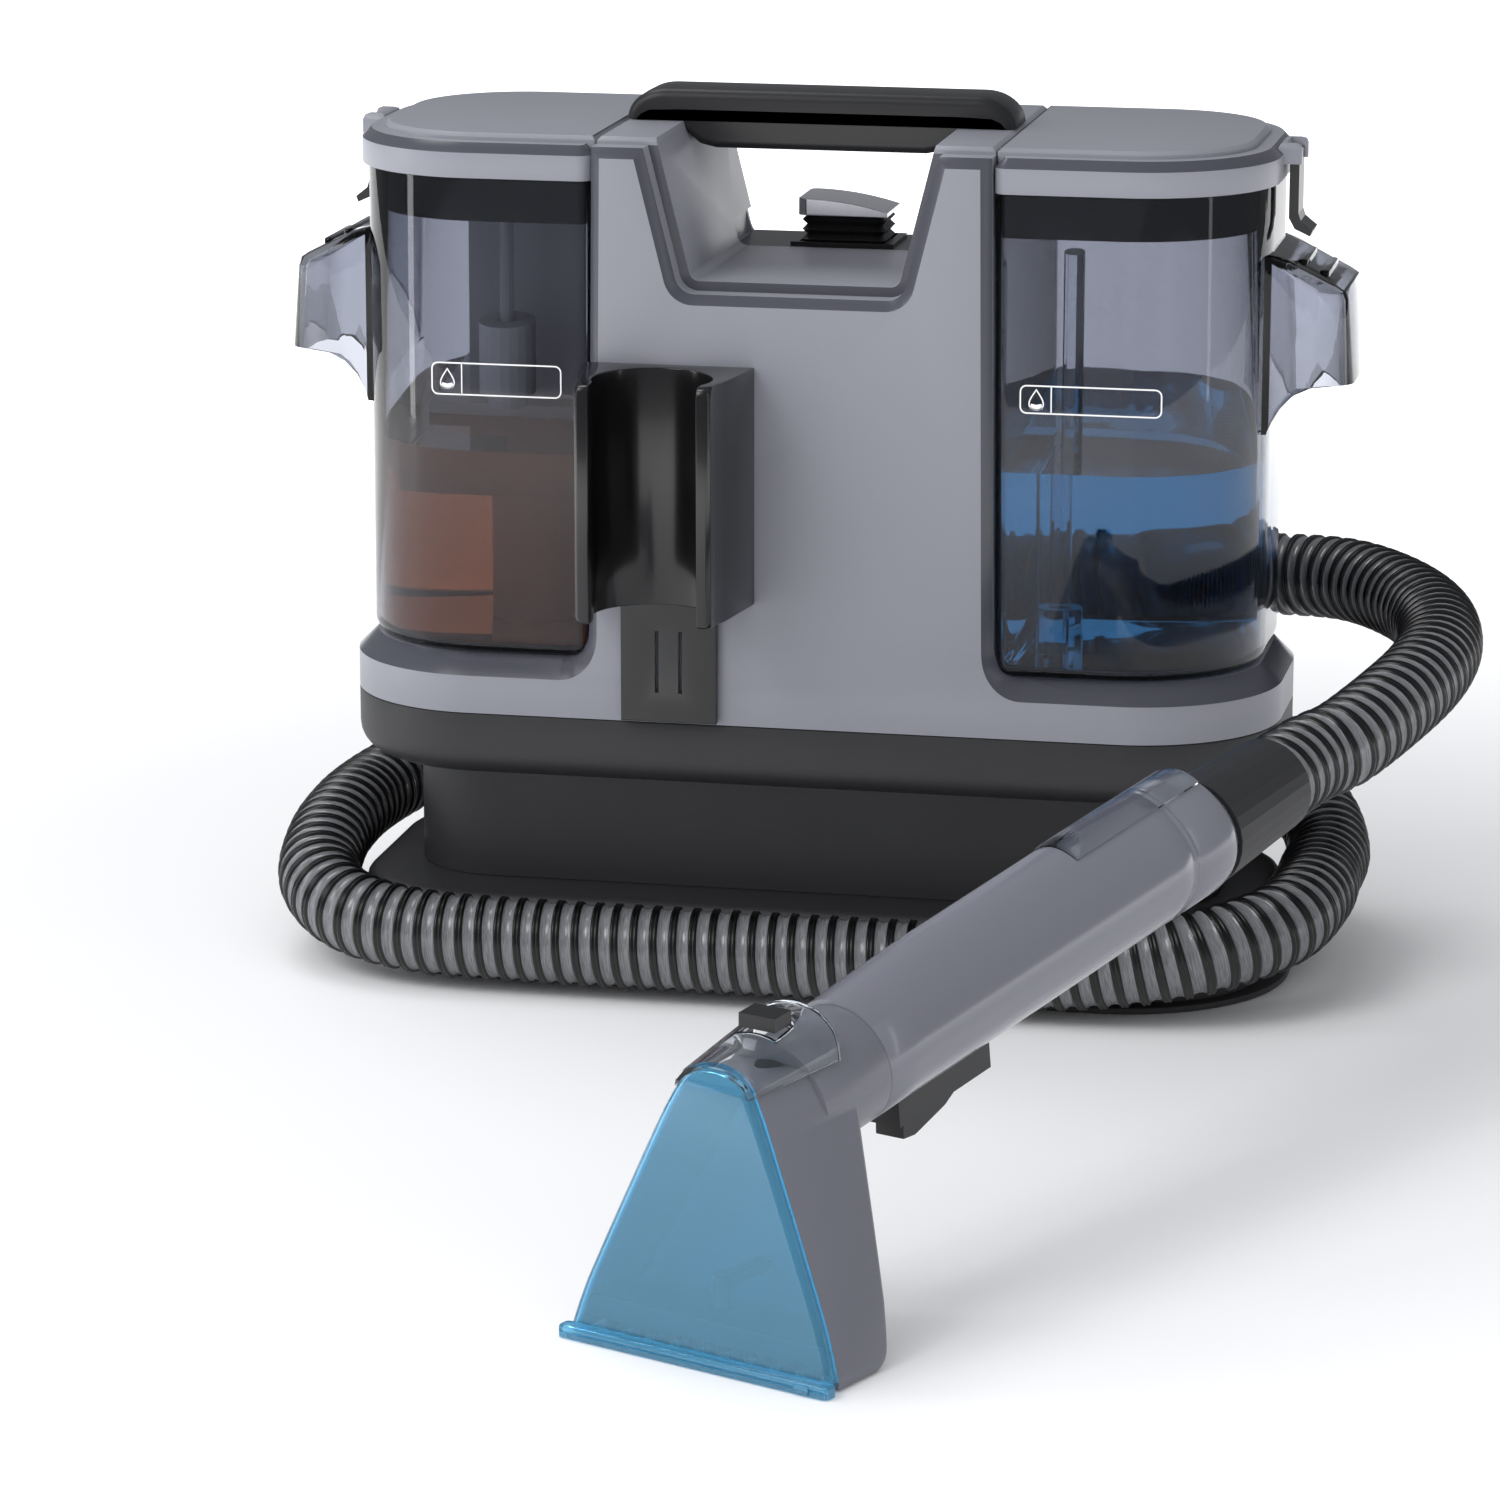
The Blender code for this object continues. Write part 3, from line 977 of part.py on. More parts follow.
def make_nozzle(level):
    shell = loft("nozzle_shell", nozzle_rings(0, 0, 0), PARTS, grey_plastic())
    tilt = math.radians(TILT_DEG)
    axis = Vector((0, math.cos(tilt), math.sin(tilt)))
    neck_r = TUBE_DIAMETER / 2
    neck = cylinder("nozzle_neck", -0.0200 * axis, neck_r, 0.0400 - 2 * GAP, axis, CUTTERS, sides=28)
    join(shell, neck)
    cavity = loft("nozzle_cavity", nozzle_rings(NOZZLE_WALL, -0.004, NOZZLE_WALL, 0.01), CUTTERS)
    for vert in cavity.data.vertices:
        if vert.co.z > 0.02:
            vert.co.z = 0.0200
    bore = cylinder("nozzle_bore", -0.0150 * axis, 0.0175, 0.060, axis, CUTTERS, sides=20)
    cut(shell, cavity, bore)

    slab = [(z, half + 0.0006, front - GAP) for z, half, front, back in NOZZLE_SECTIONS[1:]]
    rings = []
    for z, half, front in slab:
        ring = rounded(-half, half, front - COVER_THICKNESS, front, (0.0010,) * 4)
        rings.append([(x, y, z) for x, y in ring])
    cover = loft("nozzle_cover", rings, PARTS, clear_plastic())
    lip = block("cover_lip", -LIP_HALF_WIDTH, LIP_HALF_WIDTH, -0.0900, -0.0850, -0.0866, -0.0830, CUTTERS)
    join(cover, lip)

    roof = prism("nozzle_roof", [(-0.0730, 0.0110), (-0.0610, 0.0240), (-0.0280, 0.0274), (-0.0280, 0.0304),
                                 (-0.0620, 0.0270), (-0.0755, 0.0115)], -0.0180, 0.0180, PARTS, clear_plastic(),
                 plane="YZ")
    cut(roof, block("button_slot", -0.0082, 0.0082, -0.0505, -0.0395, 0.0, 0.05, CUTTERS))
    button = prism("nozzle_button", [(-0.0500, 0.0252), (-0.0400, 0.0262), (-0.0400, 0.0312), (-0.0500, 0.0302)],
                   -0.0077, 0.0077, PARTS, black_plastic(), plane="YZ")

    rings = []
    for z in (-0.0720, -0.0800):
        half = nozzle_at(z)[0] - NOZZLE_WALL - GAP
        rings.append([(-half, -0.0800, z), (half, -0.0800, z), (half, -0.0560, z), (-half, -0.0560, z)])
    brush = loft("nozzle_brush", rings, PARTS, black_plastic())
    for row in range(BRUSH_ROWS):
        for column in range(BRUSH_COLUMNS):
            x = -0.0425 + 0.085 * column / (BRUSH_COLUMNS - 1)
            y = -0.0765 + 0.0070 * row
            tuft = cylinder(f"tuft_{row}_{column}", (x, y, -0.0831), 0.0026, 0.0065, (0, 0, 1), CUTTERS, sides=6)
            join(brush, tuft)
            tuft.parent = level
    jet = cylinder("spray_tip", (0, -0.0700, -0.0640), 0.0040, 0.012, (0, 0, 1), PARTS, black_plastic(), 12)
    reach = nozzle_at(-0.0630)[2] - NOZZLE_WALL - GAP
    join(jet, block("jet_arm", -0.0030, 0.0030, -0.0700, reach, -0.0630, -0.0590, CUTTERS))
    hang(level, shell, neck, cavity, bore, cover, lip, roof, button, brush, jet)
    for name in ("button_slot", "jet_arm"):
        bpy.data.objects[name].parent = level


def smooth_all():
    for obj in PARTS.objects:
        if obj.type == "MESH":
            for polygon in obj.data.polygons:
                polygon.use_smooth = True
            obj.data.set_sharp_from_angle(angle=math.radians(30))


def main():
    clear_scene()
    make_base()
    make_body()
    make_handle()
    make_switch()
    make_tank(1, "clean_tank")
    make_tank(-1, "dirty_tank")
    make_lid(1, "clean")
    make_lid(-1, "dirty")
    make_tank_insides()
    make_holder()
    make_drive()
    make_port()
    make_hose_clip()
    make_cord_bracket()
    make_hose()
    make_wand()
    smooth_all()


main()
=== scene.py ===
"""Looks of a portable carpet cleaner: housing, clear water tanks, hose, wand and nozzle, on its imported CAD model."""

import math

import bmesh
import bpy
from mathutils import Matrix, Vector


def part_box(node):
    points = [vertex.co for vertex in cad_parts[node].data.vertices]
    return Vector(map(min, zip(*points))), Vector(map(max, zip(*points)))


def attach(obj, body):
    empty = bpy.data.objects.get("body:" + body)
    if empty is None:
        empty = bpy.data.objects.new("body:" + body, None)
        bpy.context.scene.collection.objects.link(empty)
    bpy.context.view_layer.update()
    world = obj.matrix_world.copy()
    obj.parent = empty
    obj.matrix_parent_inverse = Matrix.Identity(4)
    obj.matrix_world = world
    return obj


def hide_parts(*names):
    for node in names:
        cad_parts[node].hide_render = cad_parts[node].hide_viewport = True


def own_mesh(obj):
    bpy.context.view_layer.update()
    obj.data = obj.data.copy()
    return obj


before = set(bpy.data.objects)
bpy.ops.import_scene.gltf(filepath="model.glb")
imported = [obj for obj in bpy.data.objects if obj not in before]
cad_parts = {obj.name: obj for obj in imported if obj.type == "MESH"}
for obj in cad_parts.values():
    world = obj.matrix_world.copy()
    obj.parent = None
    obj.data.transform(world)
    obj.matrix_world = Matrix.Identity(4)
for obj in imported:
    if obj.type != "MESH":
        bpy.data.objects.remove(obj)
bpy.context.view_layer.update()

# Studio: the camera stands a little to the clean tank's side of the front, well back with a long lens.
# A pale floor runs to a white backdrop, so that the machine's soft contact shadow is all that shows.
camera_data = bpy.data.cameras.new("studio_camera")
camera_data.lens = 140.28
camera_data.sensor_width = 36.0
camera_data.clip_end = 60.0
camera = bpy.data.objects.new("studio_camera", camera_data)
camera.location = (0.4718, -2.4098, 0.6918)
camera.rotation_euler = (math.radians(90 - 13.881), 0, math.radians(11.83))
bpy.context.scene.collection.objects.link(camera)
bpy.context.scene.camera = camera
bpy.context.scene.view_settings.view_transform = "Standard"


def linear(hex_colour):
    """An sRGB hex colour as the linear numbers a shader takes."""
    values = [int(hex_colour[i:i + 2], 16) / 255 for i in (1, 3, 5)]
    return (*[v / 12.92 if v <= 0.04045 else ((v + 0.055) / 1.055) ** 2.4 for v in values], 1.0)


def add_node(tree, kind, settings=(), links=()):
    """Adds a node, sets its attributes or input sockets by name, and links (node, output, input) to it."""
    node = tree.nodes.new(kind)
    for key, value in dict(settings).items():
        if key in node.inputs:
            node.inputs[key].default_value = value
        else:
            setattr(node, key, value)
    for source, output, target in links:
        tree.links.new(source.outputs[output], node.inputs[target])
    return node


def new_material(name, colour, roughness, **sockets):
    """A Principled surface. Extra sockets are given by name, with _ for a space."""
    made = bpy.data.materials.new(name)
    made.use_nodes = True
    shader = made.node_tree.nodes["Principled BSDF"]
    shader.inputs["Base Color"].default_value = linear(colour)
    shader.inputs["Roughness"].default_value = roughness
    for key, value in sockets.items():
        shader.inputs[key.replace("_", " ")].default_value = value
    return made


def add_grain(made, grain, depth, spread=0.0, stretch=(1, 1, 1)):
    """Moulded texture: bumps a grain in metres wide and depth deep; spread varies the roughness over the face."""
    tree = made.node_tree
    shader = tree.nodes["Principled BSDF"]
    place = add_node(tree, "ShaderNodeTexCoord")
    scaled = add_node(tree, "ShaderNodeMapping", {"Scale": stretch}, [(place, "Object", "Vector")])
    noise = add_node(tree, "ShaderNodeTexNoise", {"Scale": 1 / grain, "Detail": 3.0}, [(scaled, "Vector", "Vector")])
    bump = add_node(tree, "ShaderNodeBump", {"Strength": 1.0, "Distance": depth}, [(noise, "Fac", "Height")])
    tree.links.new(bump.outputs["Normal"], shader.inputs["Normal"])
    if spread:
        middle = shader.inputs["Roughness"].default_value
        slow = add_node(tree, "ShaderNodeTexNoise", {"Scale": 22.0, "Detail": 2.0}, [(place, "Object", "Vector")])
        ramp = add_node(tree, "ShaderNodeMapRange", {"To Min": middle - spread, "To Max": middle + spread},
                        [(slow, "Fac", "Value")])
        tree.links.new(ramp.outputs["Result"], shader.inputs["Roughness"])
    return made


def only(obj):
    bpy.ops.object.select_all(action="DESELECT")
    obj.select_set(True)
    bpy.context.view_layer.objects.active = obj


def box_piece(name, low, high):
    """A cube brought to its two corners, its place in its mesh."""
    bpy.ops.object.select_all(action="DESELECT")
    bpy.ops.mesh.primitive_cube_add(size=1, location=(Vector(low) + Vector(high)) / 2)
    obj = bpy.context.object
    obj.name = obj.data.name = name
    obj.scale = Vector(high) - Vector(low)
    bpy.ops.object.transform_apply(location=True, rotation=True, scale=True)
    return obj


def pick(obj, kind, test):
    """Opens obj in edit mode with the vertices, edges or faces selected whose points all pass test."""
    only(obj)
    mesh = obj.data
    passed = [test(v.co) for v in mesh.vertices]
    for group in (mesh.vertices, mesh.edges, mesh.polygons):
        group.foreach_set("select", [False] * len(group))
    chosen = {"VERT": mesh.vertices, "EDGE": mesh.edges, "FACE": mesh.polygons}[kind]
    for item in chosen:
        item.select = passed[item.index] if kind == "VERT" else all(passed[i] for i in item.vertices)
    bpy.context.tool_settings.mesh_select_mode = (kind == "VERT", kind == "EDGE", kind == "FACE")
    bpy.ops.object.mode_set(mode="EDIT")


def leave():
    bpy.ops.object.mode_set(mode="OBJECT")


def pick_edges(obj, test):
    """Opens obj in edit mode with the edges selected whose two ends pass test(a, b)."""
    only(obj)
    mesh = obj.data
    for group in (mesh.vertices, mesh.edges, mesh.polygons):
        group.foreach_set("select", [False] * len(group))
    for edge in mesh.edges:
        edge.select = test(*[mesh.vertices[i].co for i in edge.vertices])
    bpy.context.tool_settings.mesh_select_mode = (False, True, False)
    bpy.ops.object.mode_set(mode="EDIT")


def bevel_edges(obj, test, width, segments=3):
    pick_edges(obj, test)
    bpy.ops.mesh.bevel(offset=width, segments=segments, affect="EDGES", clamp_overlap=False)
    leave()
    return obj


def bevel(obj, test, width, segments=3):
    return bevel_edges(obj, lambda a, b: test(a) and test(b), width, segments)


def near(value, target, within=1e-5):
    return abs(value - target) < within


def round_plan(obj, corner, segments=20, x_side=0):
    """Rounds the upright edges; x_side 1 or -1 rounds only those of that side."""
    xs = [v.co.x for v in obj.data.vertices]
    low, high = min(xs), max(xs)

    def upright(a, b):
        side = x_side == 0 or near(a.x, high if x_side > 0 else low)
        return side and near(a.x, b.x) and near(a.y, b.y)

    return bevel_edges(obj, upright, corner, segments)


def rim(obj, z, width, segments=3, within=1e-5):
    return bevel(obj, lambda co: near(co.z, z, within), width, segments)


def combine(obj, operation, *tools):
    """Boolean with each tool in turn; the tools are used up."""
    for tool in tools:
        only(obj)
        step = obj.modifiers.new("step", "BOOLEAN")
        step.operation = operation
        step.solver = "EXACT"
        step.object = tool
        for finish in list(obj.data.materials)[len(tool.data.materials):]:
            tool.data.materials.append(finish)
        bpy.ops.object.modifier_apply(modifier=step.name)
        bpy.data.objects.remove(tool, do_unlink=True)
    return obj


def cut(obj, *tools):
    return combine(obj, "DIFFERENCE", *tools)


def soften(obj, width=0.0005, segments=2, angle=30):
    """The small radius that a mould leaves on every edge."""
    only(obj)
    step = obj.modifiers.new("edge", "BEVEL")
    step.width = width
    step.segments = segments
    step.limit_method = "ANGLE"
    step.angle_limit = math.radians(angle)
    step.harden_normals = False
    bpy.ops.object.modifier_apply(modifier=step.name)
    return obj


def loft_rings(name, rings):
    """A skin over rings of equally many points, closed at both ends."""
    bm = bmesh.new()
    rows = [[bm.verts.new(point) for point in ring] for ring in rings]
    count = len(rings[0])
    for here, there in zip(rows, rows[1:]):
        for i in range(count):
            bm.faces.new((here[i], here[(i + 1) % count], there[(i + 1) % count], there[i]))
    bm.faces.new(rows[0][::-1])
    bm.faces.new(rows[-1])
    bmesh.ops.remove_doubles(bm, verts=bm.verts, dist=1e-6)
    bmesh.ops.dissolve_degenerate(bm, edges=bm.edges, dist=1e-6)
    bm.normal_update()
    bmesh.ops.recalc_face_normals(bm, faces=bm.faces)
    data = bpy.data.meshes.new(name)
    bm.to_mesh(data)
    bm.free()
    obj = bpy.data.objects.new(name, data)
    bpy.context.scene.collection.objects.link(obj)
    return obj


def paint(obj, index, test):
    """Gives the faces that pass test(face) another of the piece's materials; here that is the darker grey painted on
    chamfers as a painted dark reflection.
    """
    for face in obj.data.polygons:
        if test(face):
            face.material_index = index
    return obj


def fit(obj, body, finish, slot, *nodes, angle=32):
    """Gives a piece its finish and shading, and says what it rides on and stands for."""
    only(obj)
    bpy.ops.object.shade_smooth_by_angle(angle=math.radians(angle))
    if finish is not None:
        obj.data.materials.clear()
        obj.data.materials.append(finish)
    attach(obj, body)
    if nodes:
        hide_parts(*nodes)
    return obj


def dress(node, finish):
    """A CAD node keeps its shape and gets a real finish."""
    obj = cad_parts[node]
    obj.data.materials.clear()
    obj.data.materials.append(finish)


floor = box_piece("studio_floor", (-14, -6, -0.05), (14, 22, -0.0002))
floor_paint = add_grain(new_material("studio_floor_with_painted_glow", "#F6F6F7", 0.55), 0.004, 0.00002)
floor_tree = floor_paint.node_tree
# Painted glow: the floor gives off light of its own. There is none near the machine, and it rises to 0.9 between 0.35
# m and 1.5 m out, so the far floor turns white and runs into the backdrop.
floor_place = add_node(floor_tree, "ShaderNodeTexCoord")
floor_reach = add_node(floor_tree, "ShaderNodeVectorMath", {"operation": "LENGTH"}, [(floor_place, "Object", 0)])
floor_glow_ramp = add_node(floor_tree, "ShaderNodeMapRange", {"From Min": 0.35, "From Max": 1.5, "To Max": 0.9,
                                                        "interpolation_type": "SMOOTHSTEP"},
                      [(floor_reach, "Value", "Value")])
floor_shader = floor_tree.nodes["Principled BSDF"]
floor_shader.inputs["Emission Color"].default_value = (1, 1, 1, 1)
floor_tree.links.new(floor_glow_ramp.outputs["Result"], floor_shader.inputs["Emission Strength"])
floor.data.materials.append(floor_paint)

world = bpy.data.worlds.new("studio")
bpy.context.scene.world = world
world.use_nodes = True
world_tree = world.node_tree
backdrop = world_tree.nodes["Background"]
backdrop.inputs["Color"].default_value = (1, 1, 1, 1)
backdrop.inputs["Strength"].default_value = 1.0
facing = add_node(world_tree, "ShaderNodeTexCoord")
towards = add_node(world_tree, "ShaderNodeVectorMath", {"operation": "DOT_PRODUCT"}, [(facing, "Generated", 0)])
towards.inputs[1].default_value = (-0.62, -0.72, 0.30)
room = add_node(world_tree, "ShaderNodeMapRange", {"From Min": -1.0, "From Max": 1.0, "To Min": 0.06, "To Max": 1.34},
                [(towards, "Value", "Value")])
room_light = add_node(world_tree, "ShaderNodeBackground", {"Color": (0.97, 0.98, 1.0, 1)},
                      [(room, "Result", "Strength")])
dim = add_node(world_tree, "ShaderNodeBackground", {"Color": (0.62, 0.64, 0.68, 1), "Strength": 0.36})
rays = add_node(world_tree, "ShaderNodeLightPath")
gloss_mix = add_node(world_tree, "ShaderNodeMixShader", (),
                     [(rays, "Is Glossy Ray", 0), (room_light, 0, 1), (dim, 0, 2)])
clear_mix = add_node(world_tree, "ShaderNodeMath", {"operation": "MAXIMUM"},
                     [(rays, "Is Camera Ray", 0), (rays, "Is Transmission Ray", 1)])
mixed = add_node(world_tree, "ShaderNodeMixShader", (), [(clear_mix, 0, 0), (gloss_mix, 0, 1), (backdrop, 0, 2)])
world_tree.links.new(mixed.outputs[0], world_tree.nodes["World Output"].inputs["Surface"])


def softbox(name, place, aim, size, power, colour=(1, 1, 1)):
    data = bpy.data.lights.new(name, "AREA")
    data.shape = "RECTANGLE"
    data.size, data.size_y = size
    data.energy = power
    data.color = colour
    lamp = bpy.data.objects.new(name, data)
    lamp.location = place
    lamp.rotation_euler = (Vector(aim) - Vector(place)).to_track_quat("-Z", "Y").to_euler()
    bpy.context.scene.collection.objects.link(lamp)


softbox("key_softbox", (-1.3, -1.6, 2.1), (0, 0, 0.15), (1.2, 1.2), 20)
softbox("right_strip", (2.2, -0.7, 0.9), (0.1, 0, 0.2), (0.12, 1.6), 1.6)
softbox("left_strip", (-2.0, -0.6, 0.8), (0, 0, 0.2), (0.22, 1.8), 7)
softbox("top_softbox", (-0.9, 0.7, 2.3), (0, 0, 0.2), (1.2, 0.7), 11)

# Bottom plate, foot pads, flange, plinth and pan: black ABS mouldings with a fine leather grain, stacked up from
# the floor. They are screwed together from below, and the hose lies round the flange.
black_abs = add_grain(new_material("moulded_black_abs", "#29292B", 0.5), 0.0011, 0.00006, 0.06, (0.5, 0.5, 1.6))
smooth_black = add_grain(new_material("satin_black_abs", "#161617", 0.3), 0.0006, 0.000012, 0.04)
pad_rubber = add_grain(new_material("foot_rubber", "#101010", 0.8), 0.0004, 0.00003)


def stack_piece(name, node, corner, rims):
    low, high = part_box(node)
    obj = round_plan(box_piece(name, low, high), corner, 28)
    for z, width, segments in rims:
        rim(obj, low.z if z == "low" else high.z, width, segments)
    return fit(obj, "machine", black_abs, "black_plastic", node)


stack_piece("bottom_plate_skin", "bottom_plate", 0.072, (("high", 0.0012, 2), ("low", 0.0006, 1)))
stack_piece("flange_skin", "base_flange", 0.050, (("high", 0.005, 4),))
stack_piece("plinth_skin", "plinth", 0.040, ())
stack_piece("skirt_skin", "skirt_pan", 0.062, (("low", 0.012, 6), ("high", 0.0008, 2)))
for number in range(1, 5):
    dress(f"foot_pad_{number}", pad_rubber)

# Main housing: one grey moulding, a band over the pan with the centre tower rising out of it. Its front face runs
# flush from band to top. Chamfers frame the tank seats, the tower's seams and the notch under the handle.
grey_abs = add_grain(new_material("satin_grey_abs", "#85868F", 0.36), 0.0005, 0.000006, 0.03)
# Painted dark reflection: a darker, glossier grey for the chamfers that stands in for the dark studio they reflect;
# the housing moulding is all one grey.
chamfer_painted_reflection = add_grain(new_material("grey_abs_painted_dark_reflection", "#464750", 0.25), 0.0005, 0.000004, 0.03)
band_low, body_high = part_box("main_housing")
tower_top = body_high.z - 0.003
deck = 0.138
tower_half = 0.0837
tower_draft = 0.0102
seat_radius = 0.0125


def tower_side(z):
    return tower_half + tower_draft * (body_high.z - z)


def tower_plate():
    """The tower with its concave feet. Its chamfer widens from 4 mm at the seams to the band's 8.5 mm at the feet."""
    foot = tower_side(deck) + seat_radius
    rows = [(foot, deck - 0.013, foot, deck - 0.013, 0.0085), (foot, deck, foot, deck - 0.0085, 0.0085)]
    for step in range(1, 13):
        share = step / 12
        angle = math.radians(90 * share)
        width = 0.0085 - 0.0043 * share * share * (3 - 2 * share)
        x, z = foot - seat_radius * math.sin(angle), deck + seat_radius * (1 - math.cos(angle))
        rows.append((x, z, x - width * math.sin(angle), z - width * math.cos(angle), width))
    rows.append((tower_half, tower_top, tower_half - 0.0042, tower_top - 0.0042, 0.0042))
    rows += [(-x, z, -inner_x, inner_z, width) for x, z, inner_x, inner_z, width in reversed(rows)]
    front, back = band_low.y, body_high.y
    return loft_rings("tower", (
        [(x, front, z) for _, _, x, z, _ in rows], [(x, front + width, z) for x, z, _, _, width in rows],
        [(x, back - width, z) for x, z, _, _, width in rows], [(x, back, z) for _, _, x, z, _ in rows]))


notch_floor = 0.299


def notch_ring(y, offset):
    """The notch's outline at one depth, grown outwards by offset round the same corner centres."""
    lean = math.atan(0.2508)
    corner = 0.0045 + offset
    low_x = 0.04375 + offset / math.cos(lean) - 0.2508 * offset
    reach = corner * math.tan((math.pi / 2 - lean) / 2)
    high = body_high.z + 0.03
    right = [(low_x + 0.2508 * (high - notch_floor + offset), high)]
    for step in range(9):
        angle = (math.pi / 2 - lean) * (1 - step / 8)
        right.append((low_x - reach + corner * math.sin(angle), notch_floor - offset + corner * (1 - math.cos(angle))))
    return [(x, y, z) for x, z in right + [(-x, z) for x, z in reversed(right)]]


band = round_plan(box_piece("housing_skin", band_low, (body_high.x, body_high.y, deck)), 0.062, 28)
rim(band, deck, 0.0085, 1)
plate = tower_plate()
panel = box_piece("panel", (-tower_half + 0.0002, band_low.y + 0.0135, 0.34),
                  (tower_half - 0.0002, body_high.y - 0.0135, body_high.z))
rim(panel, body_high.z, 0.0016, 1)
for finish in (grey_abs, chamfer_painted_reflection):
    band.data.materials.append(finish)
    plate.data.materials.append(finish)
# Painted dark reflection: the band's chamfer and the tower's seam chamfers, found by their slope, get the darker grey.
paint(band, 1, lambda face: 0.5 < face.normal.z < 0.85)
paint(plate, 1, lambda face: 0.3 < abs(face.normal.y) < 0.95)
combine(band, "UNION", plate, panel)
notch = loft_rings("notch", [notch_ring(y, offset) for y, offset in (
    (-0.0851, 0.0121), (-0.0770, 0.0040), (-0.0675, 0.0040), (-0.0675, 0), (0.0675, 0), (0.0675, 0.0040),
    (0.0770, 0.0040), (0.0851, 0.0121))])
# Painted dark reflection: the notch's outer chamfer gets the darker grey too.
for finish in (grey_abs, chamfer_painted_reflection):
    notch.data.materials.append(finish)
paint(notch, 1, lambda face: abs(face.normal.y) > 0.3)
cut(band, notch)
plate_low, plate_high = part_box("switch_plate")
switch_y = 0.0515
switch_half_width, switch_half_depth = 0.0190, 0.0150
above_floor = 0.31
cut(band, box_piece("strip_seat", (-0.05, plate_low.y - 0.0003, plate_low.z - 0.0003),
                    (0.05, plate_high.y + 0.0003, above_floor)))
cut(band, box_piece("switch_well", (-switch_half_width, switch_y - switch_half_depth, 0.280),
                    (switch_half_width, switch_y + switch_half_depth, above_floor)))
rear_low, rear_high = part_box("rear_cover")
cut(band, box_piece("rear_opening", (rear_low.x - 0.0003, 0.060, rear_low.z - 0.0003),
                    (rear_high.x + 0.0003, 0.1, rear_high.z + 0.0003)))
soften(band, 0.0004, 2, 25)
fit(band, "machine", None, "grey_plastic", "main_housing")
dress("rear_cover", grey_abs)
dress("power_inlet", smooth_black)

# Carry handle: two black glass-filled mouldings clipped together round a steel bar, with a parting line all round.
# Its ends come down in rounded shoulders onto the tower, and its grip hangs into the notch.
grip_low, grip_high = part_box("handle_lower")
cap_low, cap_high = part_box("handle_upper")


def handle_ring(y, inset, base, shoulder, inner):
    """The top strap's outline at one depth: a flat top with quarter-round shoulders, and the same line 6 mm inside."""
    outer = []
    for step in range(13):
        angle = math.radians(90 * step / 12)
        outer.append((shoulder + (cap_high.x - inset - shoulder) * math.cos(angle),
                      base + (cap_high.z - inset - base) * math.sin(angle)))
    outline = outer + [(-x, z) for x, z in reversed(outer)]
    below = [(-x, z) for x, z in inner] + [(x, z) for x, z in reversed(inner)]
    return [(x, y, z) for x, z in outline + below]


strap_inner = [(0.0790, 0.3584), (0.0768, 0.3608), (0.0730, 0.3625), (0.0600, 0.3630)]
strap_rings = []
for step in range(13):
    turn = math.radians(-90 + 180 * step / 12)
    bulge = 0.0045 * (1 - math.cos(turn))
    middle = (cap_low.y + cap_high.y) / 2
    reach = (cap_high.y - cap_low.y) / 2 - 0.0045
    y = middle + math.copysign(reach, math.sin(turn)) + 0.0045 * math.sin(turn) if step != 6 else middle
    strap_rings.append(handle_ring(y, bulge, 0.3584, 0.0665, strap_inner))
handle_top = loft_rings("handle_top", strap_rings)
leather_black = add_grain(new_material("grained_black_abs", "#1E1E20", 0.42), 0.0009, 0.00003, 0.05)
fit(handle_top, "machine", leather_black, "black_plastic", "handle_upper")
grip_inner = [(x - 0.0004, z - 0.0003) for x, z in strap_inner]
grip_line = grip_inner + [(-x, z) for x, z in reversed(grip_inner)]
under_line = [(-0.0788, 0.3583), (-0.0600, 0.3583), (-0.0575, 0.3530), (-0.0520, 0.3483), (-0.0450, 0.3467)]
under_line += [(-x, z) for x, z in reversed(under_line)]
grip_rings = [[(x, y, z) for x, z in grip_line + under_line] for y in (grip_low.y + 0.0008, grip_high.y - 0.0008)]
handle_grip = loft_rings("handle_grip", grip_rings)
bevel_edges(handle_grip, lambda a, b: near(a.y, b.y) and a.z < 0.3575 and b.z < 0.3575, 0.0035, 4)
fit(handle_grip, "machine", smooth_black, "black_plastic", "handle_lower")

# Foot switch: a silver-painted domed cap on four rubber pleats, in a black bezel let into the notch floor. It is
# pressed down to switch the machine on and springs back.
silver_paint = add_grain(new_material("silver_metallic_paint", "#C2C3C8", 0.22, Metallic=0.75), 0.0004, 0.000003)
bellows_rubber = new_material("bellows_rubber", "#0F0F10", 0.5)
cap_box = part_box("switch_cap")
switch_cap = box_piece("switch_cap_skin", cap_box[0], cap_box[1])
pick(switch_cap, "EDGE", lambda co: True)
bpy.ops.mesh.subdivide(number_cuts=11)
leave()
for vert in switch_cap.data.vertices:
    across = (vert.co.x - cap_box[0].x) / (cap_box[1].x - cap_box[0].x)
    dome = 0.0032 * (1 - (1.35 * across - 0.35) ** 2) + 0.0026 * (0.5 - across)
    share = (vert.co.z - cap_box[0].z) / (cap_box[1].z - cap_box[0].z)
    vert.co.z = cap_box[0].z + share * (0.0032 + dome)
bevel_edges(switch_cap, lambda a, b: abs(a.z - b.z) > 0.0005 and abs(a.x - b.x) < 1e-5 and abs(a.y - b.y) < 1e-5
            and near(abs(a.x), cap_box[1].x) and near(abs(a.y - switch_y), switch_half_depth + 0.0005), 0.004, 6)
soften(switch_cap, 0.0009, 3, 50)
fit(switch_cap, "switch", silver_paint, "silver", "switch_cap", angle=55)

bellows_low, bellows_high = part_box("switch_bellows")


